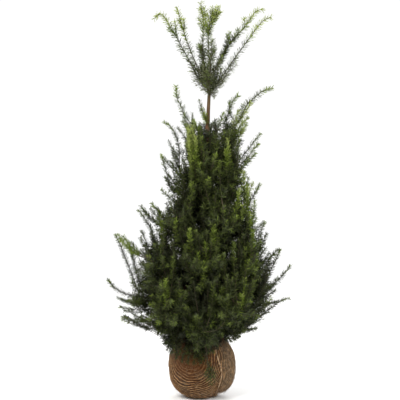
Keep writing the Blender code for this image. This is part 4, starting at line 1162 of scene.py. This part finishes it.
# Upright plumes cover the crown from all sides: their tips wind up its outline by the golden angle, and each runs
# back to the limb nearest its root, as the outlying shoots do.
def hostPlumes():
    rng = random.Random(seed + 5)
    owners, spots = [], []
    for number, limb in enumerate(limbs):
        for index, point in enumerate(limb["path"]):
            if limb["core"] and limb["bough"] * 0.6 < index / limbSteps < 0.98:
                owners.append(number)
                spots.append(tuple(point))
    spots = np.array(spots)
    heights = np.linspace(plumeForm["lowest"], plumeForm["highest"], 300)
    area = np.cumsum(leafyWidth(heights))
    tips = []
    for k in range(plumeForm["count"]):
        height = fade((k + 0.5) / plumeForm["count"], area / area[-1], heights)
        inner = rng.random() < plumeForm["innerShare"]
        share = rng.uniform(*plumeForm["inner" if inner else "outer"])
        slope = readOff(shootSlopes, height) + rng.gauss(0, plumeForm["slopeSpread"])
        steeper = plumeForm["steeper"] * min(max((height - 0.36) / 0.2, 0), 1)
        slope += steeper + (plumeForm["innerSteeper"] if inner else 0)
        slope, length = min(slope, plumeForm["steepest"]), rng.uniform(*plumeForm["length"])
        tips.append((height, k * growth["goldenAngle"], share, slope, length, None))
    for k in range(plumeForm["heartCount"]):
        height = plumeForm["heartFoot"] + plumeForm["heartRise"] * (k + 0.5) / plumeForm["heartCount"]
        share, length = rng.uniform(*plumeForm["heart"]), rng.uniform(*plumeForm["heartLength"])
        tips.append((height, k * growth["goldenAngle"], share, plumeForm["heartSlope"], length, None))
    for k in range(plumeForm["skirtCount"]):
        bearing = k * growth["goldenAngle"]
        front = math.sin(bearing) ** 4
        height = plumeForm["skirtHeight"] + rng.uniform(-0.012, 0.015)
        height -= plumeForm["skirtDrop"] * front * rng.uniform(0.3, 1)
        slope = rng.uniform(*plumeForm["skirtSlope"]) - 18 * front
        tips.append((height, bearing, None, slope, rng.uniform(*plumeForm["skirtLength"]), None))
    for x, y, z, length, fresh in standingTips:
        tip = Vector((x, y, z))
        slope = -70 if z < 0.26 else 89 if standsClear(tip) else readOff(shootSlopes, z) + 4
        tips.append((z, 0, fresh, slope, length, tip))
    for height, bearing, share, slope, length, given in tips:
        axis = axisAt(height)
        out = outAt(bearing)
        if given:
            tip = given
            out = awayFrom(axis, tip)
        elif share is None:
            ballReach = fade(height, ballHeights, ballReaches)
            tip = Vector((ball["centre"].x, 0, height)) + out * (ballReach + rng.uniform(0.012, 0.04))
        else:
            tip = axis + out * float(leafyWidth(height)) * share * float(leafySlimness(height, -math.cos(bearing)))
            tip.x += 0.02 * math.sin(height * 3)
        if not given and slope > 0:
            slope = min(slope + plumeForm["frontSteeper"] * max(-out.y, 0), plumeForm["steepest"])
        slant = math.radians(slope)
        wanted = tip - length * (out * math.cos(slant) + up * math.sin(slant))
        distances = np.linalg.norm(spots - np.array(wanted), axis=1)
        nearest = int(np.argmin(distances))
        root = Vector(spots[nearest])
        lean = fade(tip.z, (0.6, 1.4), (-0.12, 0.10)) if share and tip.z > 0.26 else 0.25
        control = root.lerp(tip, 0.5) + up * lean * (tip - root).length
        path = arcBetween(root, control.lerp(wanted, 1.1 if given and standsClear(given) else 0.5), tip, 9)
        total = lengthOf(path)
        if not given and not roomFor(path[4:], 1.05).all() or total < 0.05:
            continue
        bare = min(max(0.12, 1 - length / total), 0.3 if given or tip.z < 0.27 else 1)
        kind = ("standing" if share >= 0.25 else "spire") if given else "plume"
        limbs[owners[nearest]]["plumes"].append((kind, path, bare, share if given else None))


def rounded(path):
    for _ in range(2):
        between = [point for a, b in zip(path, path[1:]) for point in (a.lerp(b, 0.25), a.lerp(b, 0.75))]
        path = [path[0], *between, path[-1]]
    return path


outlyingBends = {  # how some of the outlying shoots run in the photo, by the height of their tip: from root to tip
    1.393: ((-0.054, 1.199), (-0.063, 1.258), (-0.078, 1.303), (-0.098, 1.334)),
    1.384: ((0.185, 1.214), (0.199, 1.276), (0.216, 1.319), (0.244, 1.338), (0.275, 1.366), (0.300, 1.379)),
    1.357: ((0.120, 1.240), (0.128, 1.265), (0.140, 1.298), (0.152, 1.334)),
    1.087: ((-0.132, 0.930), (-0.139, 0.975), (-0.142, 0.997), (-0.154, 1.036)),
    1.240: ((-0.086, 1.109), (-0.104, 1.177), (-0.128, 1.219)),
    0.524: ((-0.277, 0.412), (-0.333, 0.457), (-0.389, 0.491)),
    0.443: ((0.286, 0.378), (0.331, 0.407), (0.362, 0.434)),
    0.840: ((-0.210, 0.735), (-0.232, 0.775), (-0.252, 0.812)),
    0.731: ((-0.300, 0.545), (-0.326, 0.615), (-0.350, 0.680)),
}


def outlyingPath(path):
    bends = outlyingBends.get(round(path[-1].z, 3))
    if not bends:
        return path
    root, tip = path[0], path[-1]
    middle = [
        Vector((x, root.y + (tip.y - root.y) * (z - root.z) / (tip.z - root.z), z)) for x, z in bends if z > root.z
    ]
    return rounded([root, *middle, tip])


# The leader's shoots leave the trunk's top together. Those to the front and back are the shortest.
def leaderStem(limb):
    top, tip = trunkCentre(trunk["top"]), limb["path"][-1]
    measured = leaderPaths.get(limb["name"].removeprefix("leader_"))
    if not measured:
        return [top - up * 0.006, *partOf(limb["path"], 0.15, 0.8, 20)]
    risen = [max((height - top.z) / (tip.z - top.z), 0) ** 1.2 for _, height in measured]
    points = [Vector((across, tip.y * share, height)) for (across, height), share in zip(measured, risen)]
    return rounded([top - up * 0.006, *points])


def hostSprays():
    rng = random.Random(seed + 6)
    leaders = [limb for limb in limbs if not limb["core"]]
    for limb in leaders:
        limb["stem"] = leaderStem(limb)
    for name, level, tip, fresh in tuftTips:
        limb, root = leaders[0], trunkCentre(level)
        if name != "trunk":
            limb = next(limb for limb in leaders if limb["name"] == f"leader_{name}")
            root = min(limb["stem"], key=lambda point: abs(point.z - level))
        tip = Vector(tip)
        bow = (root - tip).cross(Vector((0, 1, 0))) * 0.15
        if name == "trunk":
            bow = Vector((tip.x - root.x, tip.y - root.y, 0)) * 0.4
        kind = "spire" if name == "trunk" else "tuft" if fresh > 0.25 else "clump"
        limb["plumes"].append((kind, arcBetween(root, root.lerp(tip, 0.5) + bow, tip, 7), 0.1, fresh))
    # The dark clump where they fork: short shoots with long needles, close round their feet.
    for k in range(plumeForm["clumpCount"]):
        limb = leaders[k % len(leaders)]
        level = rng.uniform(*plumeForm["clumpHeight"])
        bearing = k * growth["goldenAngle"]
        out = outAt(bearing)
        length = rng.uniform(*plumeForm["clumpLength"]) * (0.6 if level < 1.37 else 1)
        root = trunkCentre(level) + out * trunkRadius(level) * 0.8
        if level > trunk["top"]:
            root = min(limb["stem"], key=lambda point: abs(point.z - level))
        tip = root + out * length * rng.uniform(0.2, 0.5) + up * length * 0.85
        path = arcBetween(root, root + out * length * 0.35 + up * length * 0.2, tip, 7)
        limb["plumes"].append(("clump", path, 0.05, 0.2))
    # The sprig that hangs over the front of the ball.
    limb = next(limb for limb in limbs if any(path[-1].z < 0.2 for path in limb["outlying"]))
    hanging = next(path for path in limb["outlying"] if path[-1].z < 0.2)
    for k, tip in enumerate(map(Vector, sprigTips)):
        root = along(hanging, 0.60 + 0.04 * k)
        path = arcBetween(root, root.lerp(tip, 0.5) - Vector((0, 0.006, 0)), tip, 7)
        limb["plumes"].append(("sprig", path, 0.1, 0.0))


for limb in limbs:
    limb["plumes"] = []
hostPlumes()
hostSprays()


def growMass(limb, number):
    rule = random.Random(seed + 9 * number)  # the solids' own draws, in their order
    rng = random.Random(seed + 700 + number)
    rule.uniform(0, 6)
    leader = not limb["core"]
    stemLength = lengthOf(limb["path"]) * (1 - limb["bough"])
    stem = limb["stem"] if leader else partOf(limb["path"], limb["bough"], 1, 14)
    while not leader and len(stem) > 6 and not roomFor(stem[-1:], 1.2)[0]:
        stem = stem[:-1]
    shown = limb["name"].removeprefix("leader_") in leaderPaths
    if shown:
        grown = [newTwig("leader", stem, 0.08, 0.42, 0.17, 0.9)]
    elif leader:
        grown = [newTwig("leader", stem, 0.08, 0.38, 0.03, 0.2)]
    else:
        foot = 0.9 * growth["boughTipRadius"] if limb["bough"] else growth["stemRadius"]
        grown = [newTwig("stem", stem, 0.5, 0.28, 0.07, max(0.3, freshnessAt(stem[-1], rng)), radii=(foot, 0.0010))]
    parents = [] if leader else [grown[0]]
    sprays = heartSprays(limb, number, rule) if limb["core"] else []
    stemPoints = partOf(limb["path"], limb["bough"], 1, 40)
    for middle, tip in sprays:
        nearest = min(range(40), key=lambda k: (stemPoints[k] - tip).length)
        away = (stemPoints[nearest] - tip).length
        root = stemPoints[max(0, nearest - int(fineGrowth["heartRoot"] * away / stemLength * 40))]
        if not roomFor([tip], 1.08)[0]:
            tip = root.lerp(tip, 0.7)
        if (tip - root).length < 0.03 or not roomFor([tip], 1.3)[0]:
            continue
        control = (root.lerp(tip, 0.5) - up * 0.08 * away).lerp(middle, 0.35)
        tone = toneAt(tip, rng)
        fresh = freshnessAt(tip, rng)
        grown.append(newTwig("spray", arcBetween(root, control, tip, 6), 0.4, tone, 0.02 + 0.03 * fresh, fresh))
        parents.append(grown[-1])
    for outlying in map(outlyingPath, limb["outlying"]):
        path = partOf(outlying, 0, 0.97, 14)
        if outlying[-1].z < 0.2:
            grown.append(newTwig("sprig", path, 0.25, 0.30, 0.07, 0.1, radii=(0.0021, 0.0008)))
        else:
            fresh = max(freshnessAt(outlying[-1], rng), 0.45)
            needle = fade(outlying[-1].z, (1.25, 1.36), (0.0190, 0.0250))
            # Painted light: higher outlying shoots get a lighter tone, lower ones a darker one.
            tone = fade(outlying[-1].z, (0.6, 1.3), (0.30, 0.42))
            grown.append(newTwig("outlying", path, 0.15, tone, 0.07, fresh, needle=needle))
        parents.append(grown[-1])
    for path in [] if shown else sideShoots(limb, number, rule):
        if not leader and not roomFor([path[-1]], 1.08)[0]:
            path = partOf(path, 0, 0.7, len(path))
            if not roomFor([path[-1]], 1.3)[0]:
                continue
        fresh = 0.15 if leader else max(freshnessAt(path[-1], rng), 0.2)
        grown.append(newTwig("side", path, 0.25 if leader else 0.4, 0.30, 0.05, fresh))
        parents.append(grown[-1])
    for kind, path, bare, given in limb["plumes"]:
        fresh = freshnessAt(path[-1], rng) if given is None else given
        tone = toneAt(path[-1], rng)
        # Painted light and shade: the tone falls low in the crown and rises high up.
        tone += fade(path[-1].z, (0.28, 0.38, 0.80, 1.0, 1.3), (-0.09, -0.03, -0.03, 0.01, 0.10))
        flush = 0.03 + 0.08 * fresh
        if kind in ("standing", "spire"):
            # Painted light: standing tips are lighter the higher they stand.
            tone = 0.25 + 0.12 * fresh + fade(path[-1].z, (0.9, 1.3), (0, 0.10))
            flush = 0.05 + 0.12 * fresh
        elif kind == "clump":
            tone, flush = rng.uniform(0.36, 0.52), 0.01
        elif kind == "tuft":
            tone, flush = 0.30 + 0.08 * fresh, 0.03 + 0.05 * fresh
        elif kind == "sprig":
            tone = 0.36
        grown.append(newTwig(kind, path, bare, tone, flush, fresh))
        if kind == "standing":
            # Painted shade: lower standing tips get less of the fresh needles' lightening.
            grown[-1]["glow"] = fade(path[-1].z, (0.8, 1.0), (0.36, 0.48))
        if kind in ("plume", "standing", "spire"):
            parents.append(grown[-1])
    for parent in [] if leader else parents:
        reach = 3.0 if crownDepth(Vector(parent["path"][-1])) > 1 else fineGrowth["overreach"]
        for path in subShoots(parent, rng, reach):
            fresh = parent["freshness"] * rng.uniform(0.2, 0.8)
            tone = parent["tone"] + rng.uniform(-0.06, 0.06)
            grown.append(newTwig("fine", path, 0.06, tone, 0.010 + 0.02 * fresh, fresh))
    return grown


twigs = []
for number, limb in enumerate(limbs):
    twigs.extend(growMass(limb, number))
report(f"grew {len(twigs)} twigs")

# Needles: as long as real ones, drawn in to a short stalk at the foot and a point at the tip, slightly bowed. A form
# is where its points lie along the needle, half its width there, its faces' corners and how many each has.
needleForm = {
    "width": 0.0026, "bow": 0.13,
    "blade": ((0.0, 0.16, 0.16, 0.74, 0.74, 1.0), (0.0, -0.42, 0.42, -0.46, 0.46, 0.0),
              (0, 2, 1, 1, 2, 4, 3, 3, 4, 5), (3, 4, 3)),
    "kite": ((0.0, 0.42, 0.42, 1.0), (0.0, -0.5, 0.5, 0.0), (0, 2, 1, 1, 2, 3), (3, 3)),  # deep in the crown
}
dullScore = 20.0  # the greyer needles of the clump where the leader forks
rngNeedles = np.random.default_rng(seed)
needleParts = {"root": [], "ahead": [], "across": [], "length": [], "width": [], "score": []}


def dressWithNeedles(twig):
    path = twig["path"]
    legs = np.diff(path, axis=0)
    lengths = np.linalg.norm(legs, axis=1)
    reach = np.concatenate([[0], np.cumsum(lengths)])
    total, start = reach[-1], reach[-1] * twig["bare"]
    count = int((total - start) / twig["pitch"])
    if count < 3:
        return
    order = np.arange(count)
    places = start + (order + rngNeedles.random(count) * 0.6) * (total - start) / count
    share = (places - start) / (total - start)
    roots = np.stack([np.interp(places, reach, path[:, axis]) for axis in range(3)], axis=1)
    leg = np.clip(np.searchsorted(reach, places, side="right") - 1, 0, len(legs) - 1)
    ahead = legs[leg] / lengths[leg, None]
    normal = unit(twig["normal"] - ahead * (ahead @ np.array(twig["normal"]))[:, None])
    side = np.cross(ahead, normal)
    turn = order * growth["goldenAngle"] + rngNeedles.normal(0, 0.3, count)
    lift = np.cos(turn) * (1 - twig["flat"]) + 0.15 * twig["flat"]
    outward = unit(normal * lift[:, None] + side * np.sin(turn)[:, None])
    splay = twig["splay"][0] + (twig["splay"][1] - twig["splay"][0]) * share**3
    splay = np.radians(splay + rngNeedles.normal(0, 7, count))
    direction = ahead * np.cos(splay)[:, None] + outward * np.sin(splay)[:, None]
    face = normal * twig["flat"] + ahead * (1 - twig["flat"]) * 0.8 + rngNeedles.normal(0, 0.25, (count, 3))
    least = twig["tipNeedle"]
    size = twig["needle"] * (least + (1 - least) * np.sin(np.pi * np.minimum(0.15 + share * 0.90, 1)))
    new = np.clip(1 - (total - places) / max(twig["flush"], 0.001), 0, 1)
    needleParts["root"].append(roots)
    needleParts["ahead"].append(direction)
    needleParts["across"].append(unit(np.cross(direction, face)))
    needleParts["length"].append(size * rngNeedles.uniform(0.85, 1.1, count))
    needleParts["width"].append(needleForm["width"] * twig["wide"] * rngNeedles.uniform(0.88, 1.14, count))
    score = twig["tone"] + twig["glow"] * twig["freshness"] * new**0.7 + rngNeedles.normal(0, 0.06, count)
    if twig["kind"] in ("clump", "leader", "tuft"):
        dull = np.interp(roots[:, 2], (1.45, 1.53), (0.75, 0.0)) * (roots[:, 2] > 1.3)
        score = np.where(rngNeedles.random(count) < dull, dullScore, score)
    needleParts["score"].append(score)


for twig in twigs:
    dressWithNeedles(twig)
needles = {key: np.concatenate(values) for key, values in needleParts.items()}
report(f"placed {len(needles['score'])} needles")

# Yew needle: a leathery blade with a waxy skin, so a soft sheen over dark green, and yellower where it is new. Each
# row is a name, a colour, its lowest and highest score, how much wider than life, and a form.
# The two darkest classes, needlesInner and needlesDark, hold the needles whose score carries the most painted shade.
needleClasses = (
    ("needlesInner", "#1b1f10", -9.0, 0.17, 1.5, "kite"), ("needlesDark", "#252a15", 0.17, 0.26, 1.3, "kite"),
    ("needlesLeaf", "#32391b", 0.26, 0.36, 1.1, "blade"), ("needlesMid", "#4a5524", 0.36, 0.50, 1.0, "blade"),
    ("needlesFresh", "#697a2d", 0.50, 0.68, 1.0, "blade"), ("needlesTip", "#8b9650", 0.68, 9.0, 1.0, "blade"),
    ("needlesDull", "#65694f", 19.0, 21.0, 1.0, "blade"),
)
waxySkin = {"Roughness": 0.48, "IOR": 1.45, "Specular IOR Level": 0.2}
mostNeedles = 48000  # so each piece stays under 200,000 triangles
for name, colour, lowest, highest, widened, form in needleClasses:
    waxy = newMaterial(f"waxyBlade_{name}", {"Base Color": linear(colour), **waxySkin})[0]
    stations, halfWidths, blade, faceSizes = map(np.array, needleForm[form])
    chosen = np.flatnonzero((needles["score"] >= lowest) & (needles["score"] < highest))
    for part in range(0, len(chosen), mostNeedles):
        some = chosen[part:part + mostNeedles]
        ahead, across, length = needles["ahead"][some], needles["across"][some], needles["length"][some]
        width = needles["width"][some] * widened
        under = np.cross(across, ahead)
        points = needles["root"][some][:, None] + ahead[:, None] * (stations[None] * length[:, None])[..., None]
        points += across[:, None] * (halfWidths[None] * width[:, None])[..., None]
        points -= under[:, None] * (needleForm["bow"] * stations[None] ** 2 * length[:, None])[..., None]
        corners = (blade[None] + len(stations) * np.arange(len(some))[:, None]).ravel()
        label = name if part == 0 else f"{name}{part // mostNeedles + 1}"
        piece = meshObject(label, points.reshape(-1, 3), corners, np.tile(faceSizes, len(some)), waxy, "yew_needles")
        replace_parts(piece, *massNodes)
        report(f"{label}: {len(some)} needles")


# Twigs of one kind, in one mesh.
def twigPiece(name, chosen, sides, material, slotName):
    rows = [
        (twig["path"][[0, 2, 3]] if twig["kind"] == "fine" else twig["path"], twig["radii"], twig["normal"])
        for twig in chosen
    ]
    piece = meshObject(name, *tubeArrays(rows, sides), material, slotName, True)
    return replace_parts(piece, *massNodes)


# Young yew shoots stay green for their first years, and older twigs are covered in thin brown bark.
greenShoot, shader = newMaterial("greenShootRind", {"Roughness": 0.55})
mottle(greenShoot, shader, 30.0, 3.0, (0.42, "#3e4b24"), (0.62, "#586a33"))
brownTwig, shader = newMaterial("thinBrownTwigBark", {"Roughness": 0.8})
mottle(brownTwig, shader, 26.0, 3.0, (0.42, "#332f1d"), (0.62, "#413425"))
twigPiece("greenShoots", [twig for twig in twigs if twig["kind"] == "fine"], 3, greenShoot, "yew_needles")
twigPiece("brownTwigs", [twig for twig in twigs if twig["kind"] != "fine"], 5, brownTwig, "red_brown_bark")
report("made the twigs")
